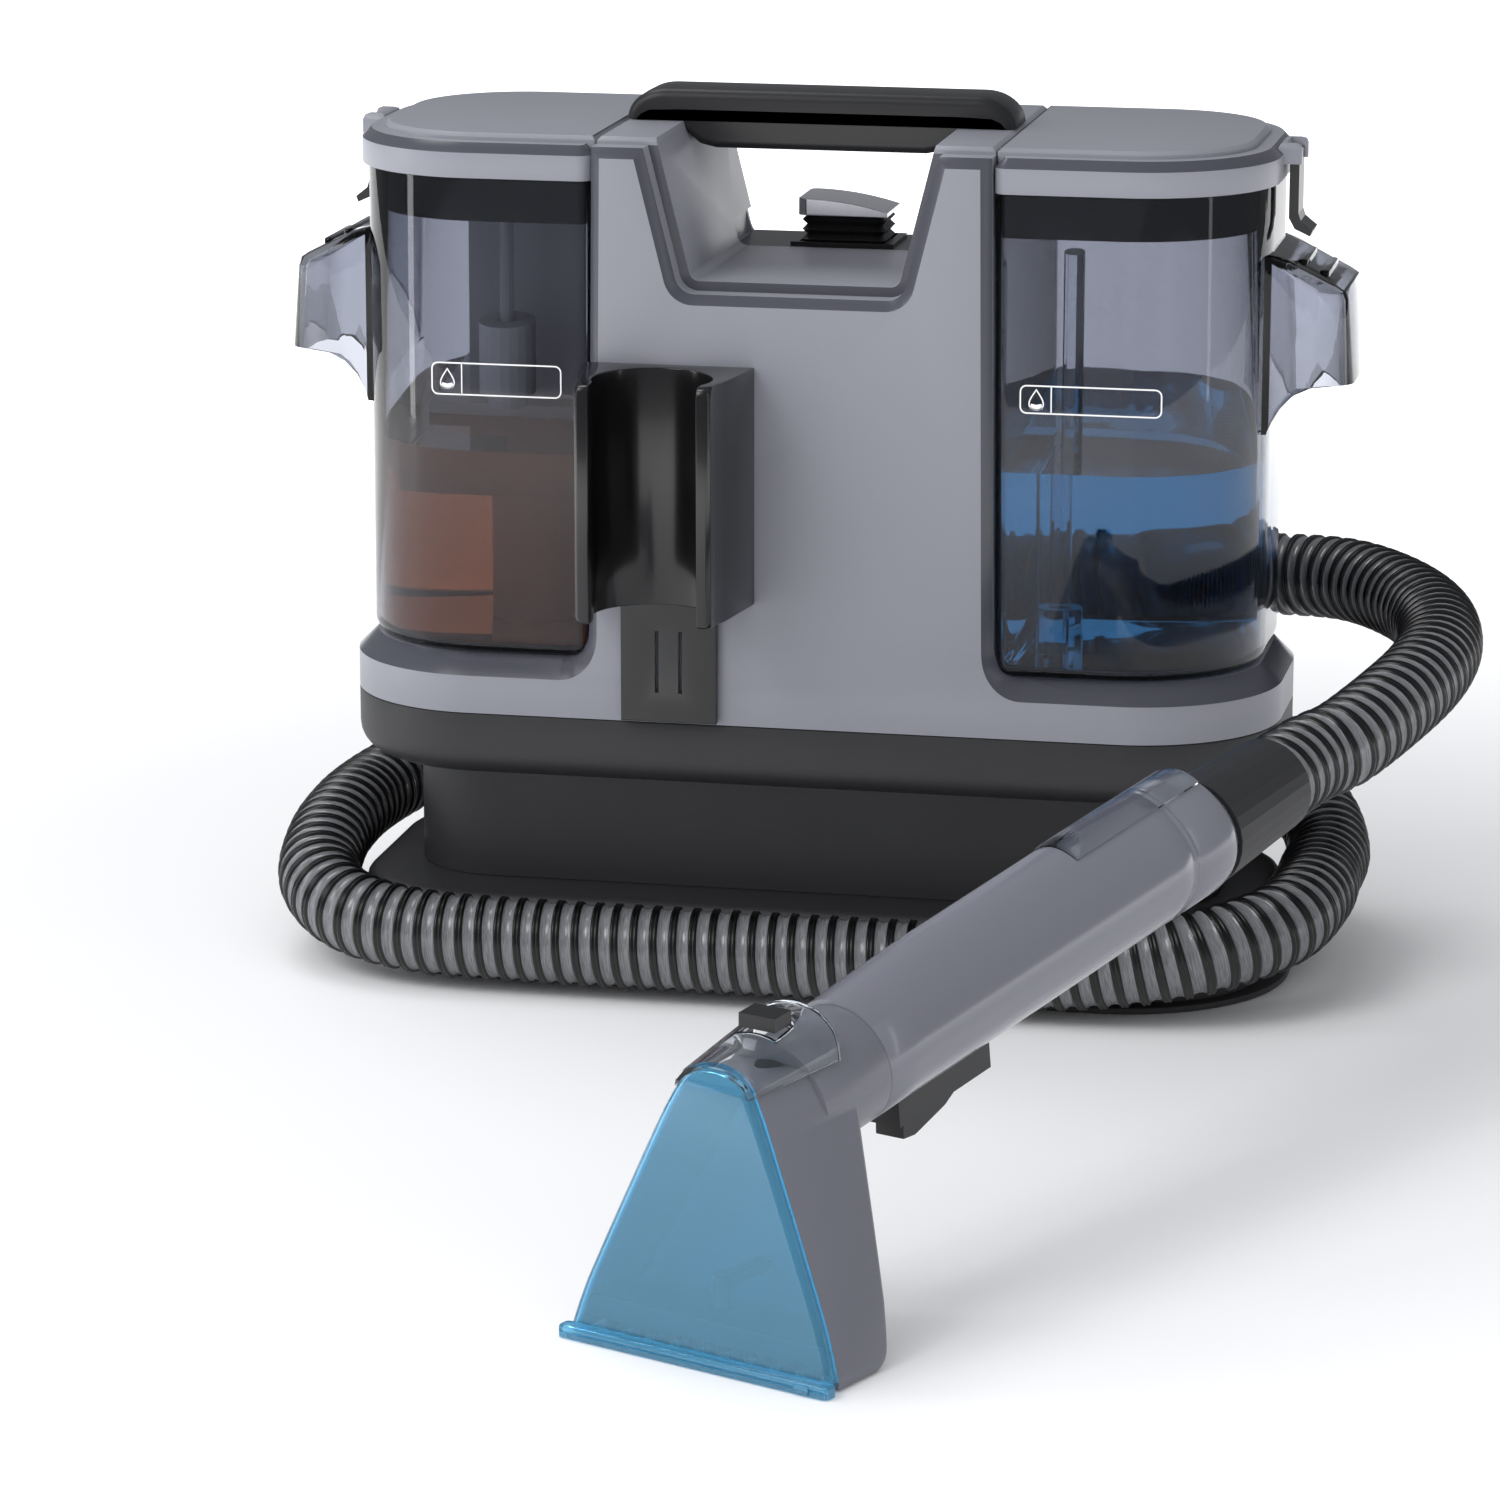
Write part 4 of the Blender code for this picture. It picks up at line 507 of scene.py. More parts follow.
def bellows_ring(z, inset):
    """A rounded rectangle round the switch's middle."""
    points = []
    half_x, half_y, corner = switch_half_width - inset, switch_half_depth - inset, 0.004
    for centre_x, centre_y, start in ((1, 1, 0), (-1, 1, 90), (-1, -1, 180), (1, -1, 270)):
        for step in range(7):
            angle = math.radians(start + 15 * step)
            points.append((centre_x * (half_x - corner) + corner * math.cos(angle),
                           switch_y + centre_y * (half_y - corner) + corner * math.sin(angle), z))
    return points


bellows_height = bellows_high.z - bellows_low.z
pleat_depth = 0.0009
pleat_rows = [(bellows_low.z + bellows_height * i / 16, 0.0006 + pleat_depth * (1 + math.cos(math.pi * i / 2)))
              for i in range(17)]
bellows = loft_rings("bellows_skin", [bellows_ring(z, inset) for z, inset in pleat_rows])
cut(bellows, box_piece("bellows_bore", (-0.0125, 0.0430, bellows_low.z - 0.01),
                       (0.0125, 0.0600, bellows_high.z + 0.01)))
fit(bellows, "machine", bellows_rubber, "rubber", "switch_bellows")
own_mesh(bellows)
dress("switch_plate", smooth_black)

# Fan, motor, duct and pump inside the tower: bare steel and black mouldings that only show with the rear cover off.
steel = new_material("bare_steel", "#8E8E90", 0.35, Metallic=1.0)
for node in ("motor", "fan_impeller"):
    dress(node, steel)
for node in ("air_duct", "fan_volute", "water_pump"):
    dress(node, smooth_black)

# Water tanks: clear smoky SAN, moulded in one with hollow fingertip grips, 2 mm thick. Each stands on the band
# against the tower's side, with a black seal and a grey lid pushed into its mouth.
smoky_san = new_material("smoky_clear_san", "#DADDE6", 0.03, IOR=1.40, Transmission_Weight=1.0)


def tint_through(made, colour, density):
    """Colour that deepens with the plastic's thickness, as a dye in it does."""
    absorb = add_node(made.node_tree, "ShaderNodeVolumeAbsorption")
    absorb.inputs["Color"].default_value = linear(colour)
    absorb.inputs["Density"].default_value = density
    made.node_tree.links.new(absorb.outputs[0], made.node_tree.nodes["Material Output"].inputs["Volume"])
    return made


tint_through(smoky_san, "#55586A", 190)
seal_rubber = new_material("seal_rubber", "#0C0C0D", 0.42)
tank_wall = 0.0020
tank_corner = 0.058


def lean_in(obj, side):
    """The inner wall follows the tower's draft."""
    for vert in obj.data.vertices:
        if side * vert.co.x < 0.12:
            vert.co.x += side * tower_draft * (body_high.z - vert.co.z)
    return obj


def d_block(name, side, inner, outer, half_depth, low, high, corner, inner_corner=0.006):
    xs = sorted((side * inner, side * outer))
    obj = box_piece(name, (xs[0], -half_depth, low), (xs[1], half_depth, high))
    round_plan(obj, corner, 24, side)
    return round_plan(obj, inner_corner, 6, -side)


grip_top = [(0.1860, 0.3135), (0.2000, 0.3090), (0.2205, 0.2990), (0.2238, 0.2968), (0.2250, 0.2935)]
grip_foot = [(0.2278, 0.2585), (0.2150, 0.2568), (0.2065, 0.2535), (0.1995, 0.2480), (0.1950, 0.2420),
             (0.1925, 0.2370), (0.1860, 0.2370)]
scoop_line = [(0.1934, 0.3082), (0.2000, 0.3062), (0.2190, 0.2972), (0.2215, 0.2955), (0.2225, 0.2930),
              (0.2262, 0.2200), (0.1934, 0.2200)]
grip_corner, grip_half_width, rib_height = 0.011, 0.034, 0.0016


def grip_shell(name, side, wall):
    """The fingertip grip's outline carried across, its corners rounded in plan; wall > 0 gives the hollow inside."""
    line = scoop_line if wall else grip_top + grip_foot
    start = 0.1930
    rings = []
    corner = grip_corner - wall
    reach = grip_half_width - wall - corner
    for step in range(-8, 9):
        turn = math.radians(90 * abs(step) / 8)
        y = math.copysign(reach + corner * math.sin(turn), step) if step else 0.0
        pull = corner * (1 - math.cos(turn))
        rings.append([(side * (x - pull * min(max((x - start) / 0.02, 0), 1)), y, z) for x, z in line])
    return loft_rings(name, rings)


def make_tank(side, name, body):
    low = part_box(name)[0]
    inner = tower_half + 0.0003
    outer, half_depth, top, bottom = 0.1925, 0.077, 0.340, low.z
    tank = d_block(name + "_skin", side, inner, outer, half_depth, bottom, top, tank_corner)
    rim(tank, bottom, 0.006, 5)
    lean_in(tank, side)
    combine(tank, "UNION", grip_shell("grip", side, 0))
    cut(tank, grip_shell("scoop", side, 0.0021))
    inside = d_block("inside", side, inner + tank_wall, outer - tank_wall, half_depth - tank_wall,
                     bottom + 0.0025, 0.36, tank_corner - tank_wall, 0.004)
    rim(inside, bottom + 0.0025, 0.005, 4)
    lean_in(inside, side)
    cut(tank, inside)
    for centre in (0.2045, 0.2135):
        height = 0.3068 if centre < 0.21 else 0.3025
        rib = box_piece("rib", (side * centre - 0.0020, -0.019, height - 0.003),
                        (side * centre + 0.0020, 0.019, height + rib_height))
        round_plan(rib, 0.0019, 5)
        rim(rib, height + rib_height, 0.0010, 3)
        combine(tank, "UNION", rib)
    soften(tank, 0.0004, 2, 40)
    return fit(tank, body, smoky_san, "clear_plastic", name)


make_tank(1, "clean_tank", "clean_water_tank")
make_tank(-1, "dirty_tank", "dirty_water_tank")


def make_lid(side, name, body):
    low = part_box(name + "_lid")[0]
    inner = tower_half + 0.0003
    lid = d_block(name + "_lid_skin", side, inner, 0.195, 0.078, low.z, tower_top, tank_corner)
    rim(lid, tower_top, 0.0040, 1)
    lean_in(lid, side)
    raised = d_block("raised", side, inner + 0.0002, 0.185, 0.0675, 0.345, body_high.z, tank_corner - 0.010,
                     0.001)
    rim(raised, body_high.z, 0.0016, 1)
    lean_in(raised, side)
    combine(lid, "UNION", raised)
    under = d_block("under", side, inner + 0.0018, 0.1932, 0.0762, low.z - 0.01, 0.351, tank_corner - 0.0018, 0.004)
    lean_in(under, side)
    cut(lid, under)
    latch_low, latch_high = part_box(name + "_latch")
    lug_ends, slot_ends = sorted((side * 0.1925, side * 0.2025)), sorted((side * 0.1958, side * 0.22))
    lug = box_piece("lug", (lug_ends[0], latch_low.y - 0.004, 0.347),
                    (lug_ends[1], latch_high.y + 0.004, 0.3555))
    rim(lug, 0.3555, 0.0025, 2)
    slot = box_piece("slot", (slot_ends[0], latch_low.y - 0.0003, 0.33),
                     (slot_ends[1], latch_high.y + 0.0003, 0.36))
    combine(lid, "UNION", lug)
    cut(lid, slot)
    soften(lid, 0.0004, 2, 25)
    fit(lid, body, grey_abs, "grey_plastic", name + "_lid")
    # Painted dark reflection: the faces of the lid's top chamfer get the darker grey that stands in for the dark
    # studio they reflect.
    lid.data.materials.append(chamfer_painted_reflection)
    for face in lid.data.polygons:
        chamfer = near(face.normal.z, 0.7, 0.15) and tower_top - 0.0042 < face.center.z < tower_top
        face.material_index = int(chamfer)
    seal_low, seal_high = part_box(name + "_seal")
    seal = d_block(name + "_seal_skin", side, inner + 0.0025, 0.1900, 0.0745, seal_low.z, seal_high.z,
                   tank_corner - 0.0025, 0.0035)
    lean_in(seal, side)
    hollow = d_block("hollow", side, inner + 0.0075, 0.1850, 0.0695, seal_low.z - 0.01, seal_high.z + 0.01,
                     tank_corner - 0.0075, 0.002)
    lean_in(hollow, side)
    cut(seal, hollow)
    fit(seal, body, seal_rubber, "rubber", name + "_seal")
    dress(name + "_latch", smooth_black)


make_lid(1, "clean", "clean_cap")
make_lid(-1, "dirty", "dirty_cap")

# Inside the dirty tank: a grey separator box hangs over a wider chamber, which stands on the inlet pipe, so that wet
# air drops its water before it is drawn on. A pale foam float rides on a rod in front.
frosted_grey = new_material("frosted_grey_san", "#C9CACF", 0.30, Transmission_Weight=0.5)
clear_san = new_material("clear_san_tube", "#E9EDF2", 0.02, IOR=1.40, Transmission_Weight=1.0)
pipe_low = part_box("dirty_standpipe")[0]
chamber_bottom, pipe_top, pipe_y = 0.196, 0.200, 0.018
separator = box_piece("separator_skin", (pipe_low.x, -0.0220, chamber_bottom), (-0.0922, 0.0500, 0.230))
combine(separator, "UNION", box_piece("bulkhead", (-0.1540, -0.0120, 0.229), (-0.0926, 0.0460, 0.3200)))
for centre_x, radius in ((-0.128, 0.017), (-0.104, 0.0065)):
    bpy.ops.mesh.primitive_cylinder_add(vertices=40, radius=radius, depth=pipe_top - pipe_low.z,
                                        location=(centre_x, pipe_y, (pipe_top + pipe_low.z) / 2))
    combine(separator, "UNION", bpy.context.object)
cut(separator, box_piece("window", (-0.1500, -0.0095, 0.234), (-0.0966, 0.0430, 0.33)))
soften(separator, 0.0012, 3, 40)
fit(separator, "dirty_water_tank", frosted_grey, "black_plastic", "dirty_standpipe")
dress("float_rod", frosted_grey)
dress("clean_pickup", clear_san)
dress("dirty_float", new_material("float_foam", "#B9B9BA", 0.6))

# Water: clean water tinted blue on the right and brown waste water on the left, each filling its tank to the same
# level, a hair clear of the walls.
clean_water = new_material("blue_water", "#4FA6DC", 0.0, IOR=1.33, Transmission_Weight=1.0)
waste_water = new_material("waste_water", "#B8683F", 0.02, IOR=1.33, Transmission_Weight=0.92)
water_level = 0.225


def pour(side, name, body, liquid):
    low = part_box("clean_tank" if side > 0 else "dirty_tank")[0]
    wall = tank_wall + 0.0004
    water = d_block(name, side, tower_half + 0.0003 + wall, 0.1925 - wall, 0.077 - wall, low.z + 0.0029, water_level,
                    tank_corner - wall, 0.0036)
    rim(water, low.z + 0.0029, 0.005, 4)
    lean_in(water, side)
    fit(water, body, liquid, "clear_plastic")


pour(1, "clean_water", "clean_water_tank", clean_water)
pour(-1, "waste_water", "dirty_water_tank", waste_water)

# Tank labels: a white printed outline with a water drop in its left cell, on the front of each tank. The field beside
# the drop is left plain.
white_ink = new_material("white_label_ink", "#F2F2F2", 0.5)


def stroke(points, width, closed, y, body, name):
    """A printed line of even width, as a very thin raised band."""
    bm = bmesh.new()
    count = len(points)
    rows = []
    for i, point in enumerate(points):
        before = points[i - 1] if closed or i else point
        after = points[(i + 1) % count] if closed or i < count - 1 else point
        along = (Vector(after) - Vector(before)).normalized()
        out = Vector((-along.y, along.x)) * width / 2
        here = Vector(point)
        rows.append([bm.verts.new((p.x, depth, p.y)) for depth in (y, y + 0.0003) for p in (here + out, here - out)])
    for i in range(count if closed else count - 1):
        a, b = rows[i], rows[(i + 1) % count]
        for j, k in ((0, 1), (1, 3), (3, 2), (2, 0)):
            bm.faces.new((a[j], a[k], b[k], b[j]))
    if not closed:
        bm.faces.new((rows[0][0], rows[0][1], rows[0][3], rows[0][2]))
        bm.faces.new((rows[-1][0], rows[-1][1], rows[-1][3], rows[-1][2]))
    bmesh.ops.recalc_face_normals(bm, faces=bm.faces)
    data = bpy.data.meshes.new(name)
    bm.to_mesh(data)
    bm.free()
    obj = bpy.data.objects.new(name, data)
    bpy.context.scene.collection.objects.link(obj)
    return fit(obj, body, white_ink, "clear_plastic")


def label(name, x0, x1, z0, z1, body):
    y = -0.07725
    radius = 0.0026
    outline = []
    for centre_x, centre_z, start in ((x1 - radius, z1 - radius, 0), (x0 + radius, z1 - radius, 90),
                                      (x0 + radius, z0 + radius, 180), (x1 - radius, z0 + radius, 270)):
        for step in range(7):
            angle = math.radians(start + 90 * step / 6)
            outline.append((centre_x + radius * math.cos(angle), centre_z + radius * math.sin(angle)))
    stroke(outline, 0.0006, True, y, body, name + "_frame")
    wall = x0 + 0.0128
    stroke([(wall, z0), (wall, z1)], 0.0005, False, y, body, name + "_divider")
    centre_x, centre_z, size = x0 + 0.0066, (z0 + z1) / 2 - 0.0012, 0.0034
    drop = []
    for i in range(28):
        t = 2 * math.pi * i / 28
        drop.append((centre_x + size * math.sin(t) * math.sin(t / 2) ** 1.5 * 1.25,
                     centre_z + size * (math.cos(t) * 1.25 + 0.35)))
    stroke(drop, 0.0005, True, y, body, name + "_drop")
    water_line = [(centre_x - 0.0024, centre_z - 0.0016), (centre_x, centre_z - 0.0021),
                  (centre_x + 0.0024, centre_z - 0.0016)]
    stroke(water_line, 0.0022, False, y, body, name + "_drop_water")


label("waste_label", -0.1527, -0.0973, 0.2493, 0.2626, "dirty_water_tank")
label("clean_label", 0.0964, 0.1547, 0.2506, 0.2620, "clean_water_tank")

# Wand holder: a black C-shaped cradle with a flat tail, slid down a short rail on the tower's front and held by the
# snap tab between the tail's two slots.
holder_black = new_material("gloss_black_abs", "#0E0E0F", 0.22, Coat_Weight=0.3, Coat_Roughness=0.1)
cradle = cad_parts["wand_holder"].copy()
cradle.data = cradle.data.copy()
cradle.name = cradle.data.name = "cradle_skin"
bpy.context.scene.collection.objects.link(cradle)
only(cradle)
bpy.ops.object.mode_set(mode="EDIT")
bpy.ops.mesh.select_all(action="SELECT")
bpy.ops.mesh.remove_doubles(threshold=0.00001)
bpy.ops.mesh.dissolve_limited(angle_limit=math.radians(1))
leave()
soften(cradle, 0.0008, 3, 40)
fit(cradle, "holder", holder_black, "black_plastic", "wand_holder", angle=35)
dress("holder_rail", smooth_black)

# Rear cord bracket: a black plate with two bosses and turning hooks for winding up the power cord. The hose's port
# elbow and the clip that holds its first turn are the same satin black moulding.
for node in ("cord_bracket", "cord_hook_lower", "cord_hook_upper", "hose_port", "hose_clip"):
    dress(node, smooth_black)

# Suction hose: clear PVC blown over a double black spiral rib, 36 mm over the ribs with a rib every 8.4 mm. It runs
# from the elbow at the back once round the base, up behind the tanks and forward into the wand's cuff.
rib_pitch = 0.0084
port_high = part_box("hose_port")[1]
hose_start = (port_high.x + 0.0003, 0.100, 0.0610)
hose_route = (
    hose_start,
    (0.110, 0.100, 0.0610),
    (0.128, 0.100, 0.0610),
    (0.158, 0.0995, 0.0590),
    (0.188, 0.0920, 0.0535),
    (0.206, 0.0700, 0.0490),
    (0.2155, 0.0350, 0.0420),
    (0.2155, 0.0000, 0.0400),
    (0.2155, -0.0300, 0.0395),
    (0.2075, -0.0670, 0.0365),
    (0.1830, -0.0925, 0.0315),
    (0.1500, -0.1020, 0.0260),
    (0.1100, -0.1045, 0.0225),
    (0.0500, -0.1045, 0.0215),
    (-0.0400, -0.1045, 0.0215),
    (-0.1050, -0.1040, 0.0215),
    (-0.1530, -0.1020, 0.0225),
    (-0.1870, -0.0910, 0.0260),
    (-0.2080, -0.0660, 0.0320),
    (-0.2155, -0.0300, 0.0395),
    (-0.2160, 0.0050, 0.0440),
    (-0.2140, 0.0400, 0.0450),
    (-0.2050, 0.0720, 0.0480),
    (-0.1800, 0.1000, 0.0600),
    (-0.1300, 0.1120, 0.0830),
    (-0.0600, 0.1130, 0.1130),
    (0.0200, 0.1100, 0.1370),
    (0.1000, 0.1060, 0.1470),
    (0.1550, 0.1030, 0.1480),
    (0.1900, 0.0980, 0.1500),
    (0.2180, 0.0820, 0.1520),
    (0.2420, 0.0520, 0.1520),
    (0.2590, 0.0150, 0.1510),
    (0.2660, -0.0250, 0.1490),
    (0.2640, -0.0650, 0.1460),
    (0.2540, -0.1050, 0.1410),
    (0.2390, -0.1420, 0.1340),
)
wand_joint = Vector((0.096, -0.464, 0.0869))
wand_heading = math.radians(23.3)
wand_tilt = math.radians(7.6)
tube_length = 0.245
cuff_length = 0.058


def on_wand(along):
    flat = along * math.cos(wand_tilt)
    return wand_joint + Vector((flat * math.sin(wand_heading), flat * math.cos(wand_heading),
                                along * math.sin(wand_tilt)))


def smooth_line(points, lead_in, lead_out, per_span):
    """A Catmull-Rom curve through the points."""
    line = []
    full = [lead_in] + points + [lead_out]
    for a, b, c, d in zip(full, full[1:], full[2:], full[3:]):
        for i in range(per_span):
            t = i / per_span
            line.append(0.5 * ((2 * b) + (c - a) * t + (2 * a - 5 * b + 4 * c - d) * t * t
                               + (3 * b - a - 3 * c + d) * t ** 3))
    line.append(points[-1])
    return line


def even_line(line, step):
    """The same line with points an even step apart, and its length."""
    spans = [(b - a).length for a, b in zip(line, line[1:])]
    total = sum(spans)
    count = round(total / step)
    out, travelled, index = [], 0.0, 0
    for i in range(count + 1):
        target = total * i / count
        while index < len(spans) - 1 and travelled + spans[index] < target:
            travelled += spans[index]
            index += 1
        share = (target - travelled) / spans[index]
        out.append(line[index].lerp(line[index + 1], min(max(share, 0.0), 1.0)))
    return out, total


route = [Vector(point) for point in hose_route]
route += [on_wand(tube_length + cuff_length + 0.030), on_wand(tube_length + cuff_length + 0.0003)]
hose_line = smooth_line(route, 2 * route[0] - route[1], 2 * route[-1] - route[-2], 24)

clear_pvc = new_material("clear_pvc_hose", "#B4B5B8", 0.22, Metallic=0.15)
pvc_tree = clear_pvc.node_tree
pvc_uv = add_node(pvc_tree, "ShaderNodeUVMap")
pvc_map = add_node(pvc_tree, "ShaderNodeMapping", {"Scale": (14.0, 260.0, 1.0)}, [(pvc_uv, "UV", "Vector")])
pvc_noise = add_node(pvc_tree, "ShaderNodeTexNoise", {"Scale": 1.0, "Detail": 3.0}, [(pvc_map, "Vector", "Vector")])
pvc_ramp = add_node(pvc_tree, "ShaderNodeMix", {"data_type": "RGBA"}, [(pvc_noise, "Fac", "Factor")])
pvc_ramp.inputs[6].default_value = linear("#2E2F31")
pvc_ramp.inputs[7].default_value = linear("#9A9B9F")
pvc_tree.links.new(pvc_ramp.outputs[2], pvc_tree.nodes["Principled BSDF"].inputs["Base Color"])
black_rib = new_material("black_pvc_rib", "#070708", 0.28)
rib_profile = ((0.00, 0.01700, 1), (0.03, 0.0177, 1), (0.09, 0.0181, 1), (0.16, 0.0180, 1), (0.205, 0.0171, 1),
               (0.25, 0.0180, 1), (0.32, 0.0181, 1), (0.38, 0.0177, 1), (0.42, 0.01700, 0), (0.55, 0.0164, 0),
               (0.71, 0.0162, 0), (0.87, 0.0164, 0))


def make_hose():
    line, length = even_line(hose_line, rib_pitch / 8)
    sides = 32
    tangents = [(line[min(i + 1, len(line) - 1)] - line[max(i - 1, 0)]).normalized() for i in range(len(line))]
    normal = tangents[0].orthogonal().normalized()
    frames = []
    for tangent in tangents:
        normal = (normal - tangent * normal.dot(tangent)).normalized()
        frames.append((normal, tangent.cross(normal)))

    def at(distance, angle, radius):
        place = min(max(distance / length, 0.0), 1.0) * (len(line) - 1)
        i = min(int(place), len(line) - 2)
        share = place - i
        centre = line[i].lerp(line[i + 1], share)
        u = frames[i][0].lerp(frames[i + 1][0], share).normalized()
        v = frames[i][1].lerp(frames[i + 1][1], share).normalized()
        return centre + radius * (math.cos(angle) * u + math.sin(angle) * v)

    turns = round(length / rib_pitch) + 1
    pitch = length / (turns - 1)
    data = bpy.data.meshes.new("hose_skin")
    bm = bmesh.new()
    rows = []
    for turn in range(turns):
        for share, radius, dark in rib_profile:
            row = []
            for j in range(sides):
                distance = (turn - 1 + share + j / sides) * pitch
                ring = radius if 0 < distance < length else 0.0168
                row.append(bm.verts.new(at(distance, 2 * math.pi * j / sides, ring)))
            rows.append((row, dark, (turn + share) * pitch))
    per_turn = len(rib_profile)
    uv = bm.loops.layers.uv.new("along_and_round")
    for i in range(len(rows) - 1):
        here, dark, distance = rows[i]
        there = rows[i + 1][0]
        for j in range(sides):
            if j < sides - 1:
                corners = (here[j], here[j + 1], there[j + 1], there[j])
            elif i + 1 + per_turn < len(rows):
                corners = (here[j], rows[i + per_turn][0][0], rows[i + 1 + per_turn][0][0], there[j])
            else:
                continue
            face = bm.faces.new(corners)
            face.material_index = dark
            face.smooth = True
            for loop, (u, v) in zip(face.loops, ((j, 0), (j + 1, 0), (j + 1, 1), (j, 1))):
                loop[uv].uv = (u / sides, (distance + v * 0.0008) / 0.1)
    bmesh.ops.remove_doubles(bm, verts=bm.verts, dist=1e-6)
    bmesh.ops.dissolve_degenerate(bm, edges=bm.edges, dist=1e-6)
    loose = [edge for edge in bm.edges if len(edge.link_faces) < 2]
    bmesh.ops.holes_fill(bm, edges=loose, sides=400)
    bmesh.ops.recalc_face_normals(bm, faces=bm.faces)
    bm.to_mesh(data)
    bm.free()
    obj = bpy.data.objects.new("hose_skin", data)
    bpy.context.scene.collection.objects.link(obj)
    data.materials.append(clear_pvc)
    data.materials.append(black_rib)
    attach(obj, "machine")
    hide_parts("hose")
    return obj, length


hose, hose_length = make_hose()
path, _ = even_line(hose_line, 0.006)

# Hose cuff: a black moulding that screws onto the hose and plugs into the wand's rear end.
dress("wand_cuff", black_abs)

# Wand: a grey ABS tube, fuller along its top where the water line runs, with a shallow double groove near its rear
# end. A clear cap closes the water line's rear part. The trigger hangs in a black housing near the front.
grey_gloss = add_grain(new_material("gloss_grey_wand_abs", "#74757F", 0.20, Coat_Weight=0.35, Coat_Roughness=0.12),
                       0.0006, 0.000004, 0.02)
wand_turn = Matrix.Translation(wand_joint) @ Matrix.Rotation(-wand_heading, 4, "Z")
tube_turn = wand_turn @ Matrix.Rotation(wand_tilt, 4, "X")
tube_radius = 0.0230


def tube_ring(y, radius, swell, start=0, end=360, count=96):
    """A round section at y, fuller by swell about its top."""
    points = []
    for i in range(count + (end - start < 360)):
        angle = math.radians(start + (end - start) * i / count)
        away = (math.degrees(angle) - 100 + 180) % 360 - 180
        r = radius + swell * math.exp(-(away / 34) ** 2)
        points.append(Vector((r * math.cos(angle), y, r * math.sin(angle))))
    return points


wand_steps = [(0.0003, -0.0006, 0), (0.0009, 0, 0.25), (0.020, 0, 0.5), (0.060, 0, 0.8), (0.200, 0, 1.0),
              (0.2085, 0, 1.0), (0.2095, -0.0007, 1.0), (0.2110, -0.0009, 1.0), (0.2120, -0.0002, 1.0),
              (0.2130, -0.0008, 1.0), (0.2145, -0.0007, 1.0), (0.2155, 0, 1.0), (0.2350, 0, 0.9),
              (0.2400, -0.0006, 0.75), (0.2435, -0.0020, 0.5), (0.2450, -0.0040, 0.3)]
top_swell = 0.0058
wand_skin = loft_rings("wand_skin", [tube_ring(y, tube_radius + change, top_swell * swell)
                                     for y, change, swell in wand_steps])
wand_skin.data.transform(tube_turn)
fit(wand_skin, "wand", grey_gloss, "grey_plastic", "wand_tube", angle=50)


def water_cap():
    """A thin shell over the tube's rear top, with a low edge at each end."""
    outer, inner = [], []
    for y, lift in ((0.150, 0.0001), (0.153, 0.0006), (0.200, 0.0008), (0.2365, 0.0008), (0.2385, 0.0003)):
        outer.append(tube_ring(y, tube_radius + lift, top_swell, 72, 140, 24))
        inner.append(tube_ring(y, tube_radius - 0.0001, top_swell - 0.0002, 72, 140, 24))
    return loft_rings("water_cap", [a + b[::-1] for a, b in zip(outer, inner)])


cap = water_cap()
cap.data.transform(tube_turn)
fit(cap, "wand", clear_san, "clear_plastic", "wand_channel", angle=50)
dress("trigger_housing", smooth_black)
dress("trigger", smooth_black)

# Nozzle: a grey ABS shell, open in front under a clear blue-tinted cover with an arched top and a beaded lip. A clear
# barrel-shaped cap clips over its top. A black brush stands behind the lip, with a spray tip above it.
blue_clear = new_material("blue_tinted_pmma", "#7FD0F4", 0.05, IOR=1.40, Transmission_Weight=0.82, Coat_Weight=0.5)
shell_grey = add_grain(new_material("flecked_grey_abs", "#6E6F78", 0.32), 0.0012, 0.00001, 0.04)
cover_widths = ((0.0180, 0.0010), (0.0172, 0.0052), (0.0158, 0.0086), (0.0138, 0.0116), (0.0110, 0.0144),
                (0.0075, 0.0168), (0.0010, 0.0203), (-0.0065, 0.0238), (-0.0190, 0.0294), (-0.0370, 0.0374),
                (-0.0520, 0.0440), (-0.0660, 0.0500), (-0.0745, 0.0530), (-0.0830, 0.0556))


def lookup(table, z):
    """The value at height z between the table's rows, which run from high to low."""
    for (high, a), (low, b) in zip(table, table[1:]):
        if low <= z <= high:
            return a + (b - a) * (high - z) / (high - low)
    return table[0][1] if z > table[0][0] else table[-1][1]


front_table = ((0.0180, -0.0765), (-0.0060, -0.0790), (-0.0660, -0.0838), (-0.0866, -0.0856))


def cover_ring(z, half):
    """A shallow tray's section: the front with rounded edges, and sides turned back to meet the shell."""
    front = lookup(front_table, z)
    back, corner, wall = front + 0.0048, min(0.0030, half * 0.9), 0.0017

    def side_path(inset):
        r = max(corner - inset, 0.0002)
        path = [(half - inset, back)]
        for step in range(6):
            angle = math.radians(90 * step / 5)
            path.append((half - inset - r + r * math.cos(angle), front + inset + r - r * math.sin(angle)))
        return path

    outer = side_path(0)
    inner = side_path(min(wall, half * 0.8))
    outline = outer + [(-x, y) for x, y in reversed(outer)] + [(-x, y) for x, y in inner] + list(reversed(inner))
    return [Vector((x, y, z)) for x, y in outline]


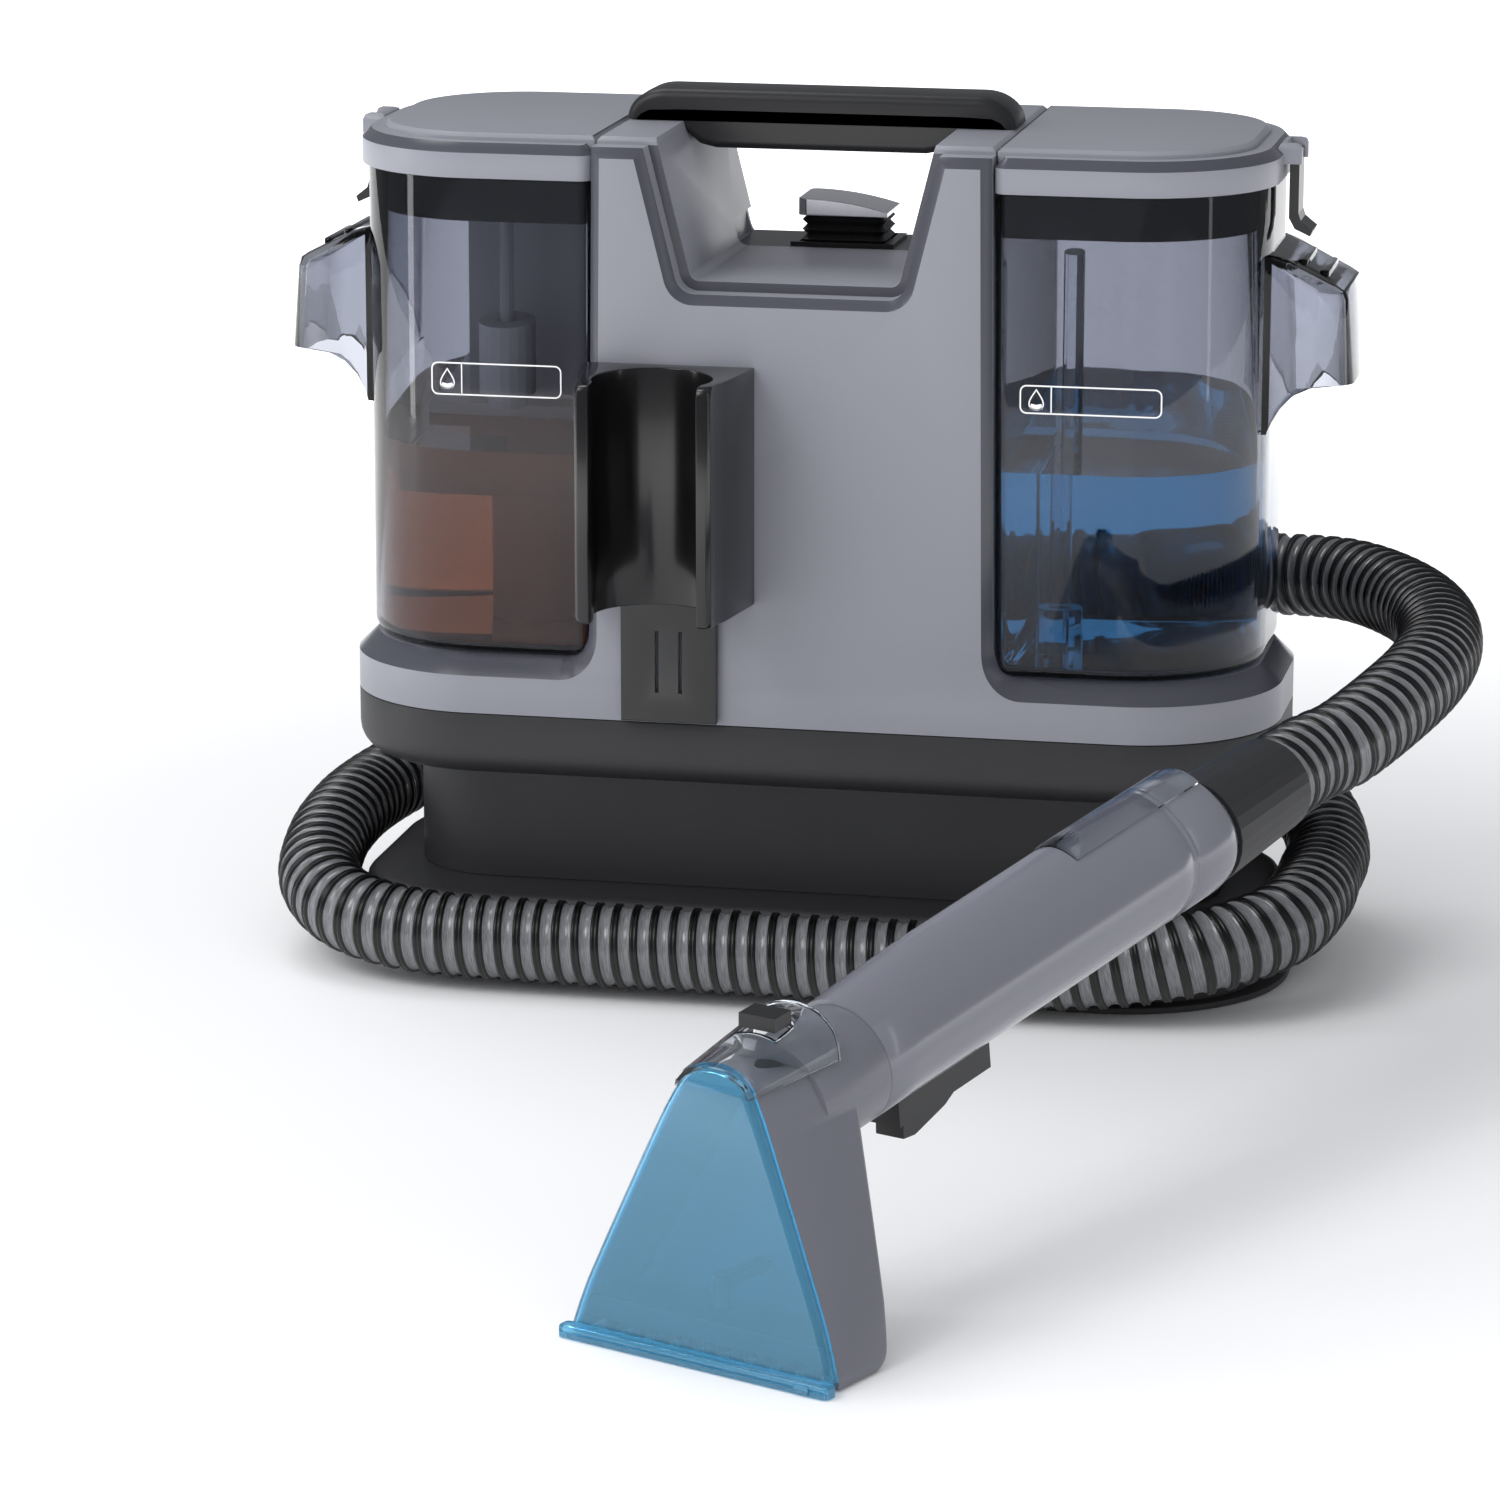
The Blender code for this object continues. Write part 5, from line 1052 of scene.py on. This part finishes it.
cover = loft_rings("cover_skin", [cover_ring(z, half) for z, half in cover_widths])
lip_low, lip_high = -0.0866, -0.0822
lip = box_piece("lip", (-0.0575, -0.0905, lip_low), (0.0575, -0.0838, lip_high))
round_plan(lip, 0.0024, 6)
rim(lip, lip_high, 0.0012, 3)
groove = box_piece("groove", (-0.2, -0.2, -0.0848), (0.2, -0.0897, -0.0840))
cut(lip, groove)
tab = box_piece("tab", (0.0440, -0.0912, -0.0860), (0.0500, -0.0890, -0.0830))
combine(cover, "UNION", lip, tab)
cover.data.transform(wand_turn)
fit(cover, "nozzle", blue_clear, "clear_plastic", "nozzle_cover", angle=40)

back_line = ((0.0110, -0.0130), (-0.0060, -0.0200), (-0.0660, -0.0420), (-0.0794, -0.0469))


def shell_back(z):
    if z > -0.0794:
        return lookup(back_line, z)
    return -0.05724 + math.sqrt(max(0.011 ** 2 - (z + 0.0756) ** 2, 0))


def shell_ring(z, inset, front=None):
    """The shell's section at height z: as wide as the cover, with rounded rear corners."""
    half = lookup(cover_widths, z) - inset
    front = lookup(front_table, z) + 0.0050 if front is None else front
    back, r = shell_back(z) - inset, 0.0035
    path = [(half, front)]
    for step in range(6):
        angle = math.radians(90 * step / 5)
        path.append((half - r + r * math.cos(angle), back - r + r * math.sin(angle)))
    return [Vector((x, y, z)) for x, y in path + [(-x, y) for x, y in reversed(path)]]


shell_heights = (0.0110, 0.0075, 0.0010, -0.0065, -0.0190, -0.0370, -0.0520, -0.0660, -0.0745, -0.0794, -0.0815,
                 -0.0833, -0.0846, -0.0856, -0.0862)
shell = loft_rings("nozzle_skin", [shell_ring(z, 0) for z in shell_heights])
shell_wall = 0.0026
hollow_rings = [shell_ring(z, shell_wall, -0.12) for z in (0.0085,) + shell_heights[2:]]
hollow_rings.append([point - Vector((0, 0, 0.01)) for point in hollow_rings[-1]])
hollow = loft_rings("nozzle_hollow", hollow_rings)
neck = loft_rings("neck", [tube_ring(y, tube_radius, 0.0) for y in (-0.040, -0.0003)])
neck.data.transform(Matrix.Rotation(wand_tilt, 4, "X"))
combine(shell, "UNION", neck)
cut(shell, hollow)
bore = loft_rings("bore", [tube_ring(y, 0.0175, 0.0) for y in (-0.048, 0.02)])
bore.data.transform(Matrix.Rotation(wand_tilt, 4, "X"))
cut(shell, bore)
soften(shell, 0.0005, 2, 35)
shell.data.transform(wand_turn)
fit(shell, "nozzle", shell_grey, "grey_plastic", "nozzle_shell", angle=35)


def barrel_ring(y, inset):
    """The clear cap's arch at y, which rises and widens towards the wand."""
    share = (y + 0.0765) / 0.0495
    top = 0.0180 + 0.0122 * share - inset
    base = 0.0090 + 0.0030 * share
    half = 0.0160 + 0.0036 * share - inset
    points = []
    for step in range(25):
        angle = math.radians(180 * step / 24)
        points.append(Vector((half * math.cos(angle), y, base + (top - base) * math.sin(angle) ** 0.8)))
    return points


roof_steps = (-0.0765, -0.0755, -0.0600, -0.0450, -0.0300, -0.0275, -0.0270)
roof = loft_rings("roof_skin", [barrel_ring(y, 0) + barrel_ring(y, 0.0022)[::-1] for y in roof_steps])
cut(roof, box_piece("button_slot", (-0.0082, -0.0505, 0.0), (0.0082, -0.0395, 0.05)))
soften(roof, 0.0005, 2, 50)
roof.data.transform(wand_turn)
fit(roof, "nozzle", clear_san, "clear_plastic", "nozzle_roof", angle=40)
for node in ("nozzle_button", "nozzle_brush", "spray_tip"):
    dress(node, smooth_black)
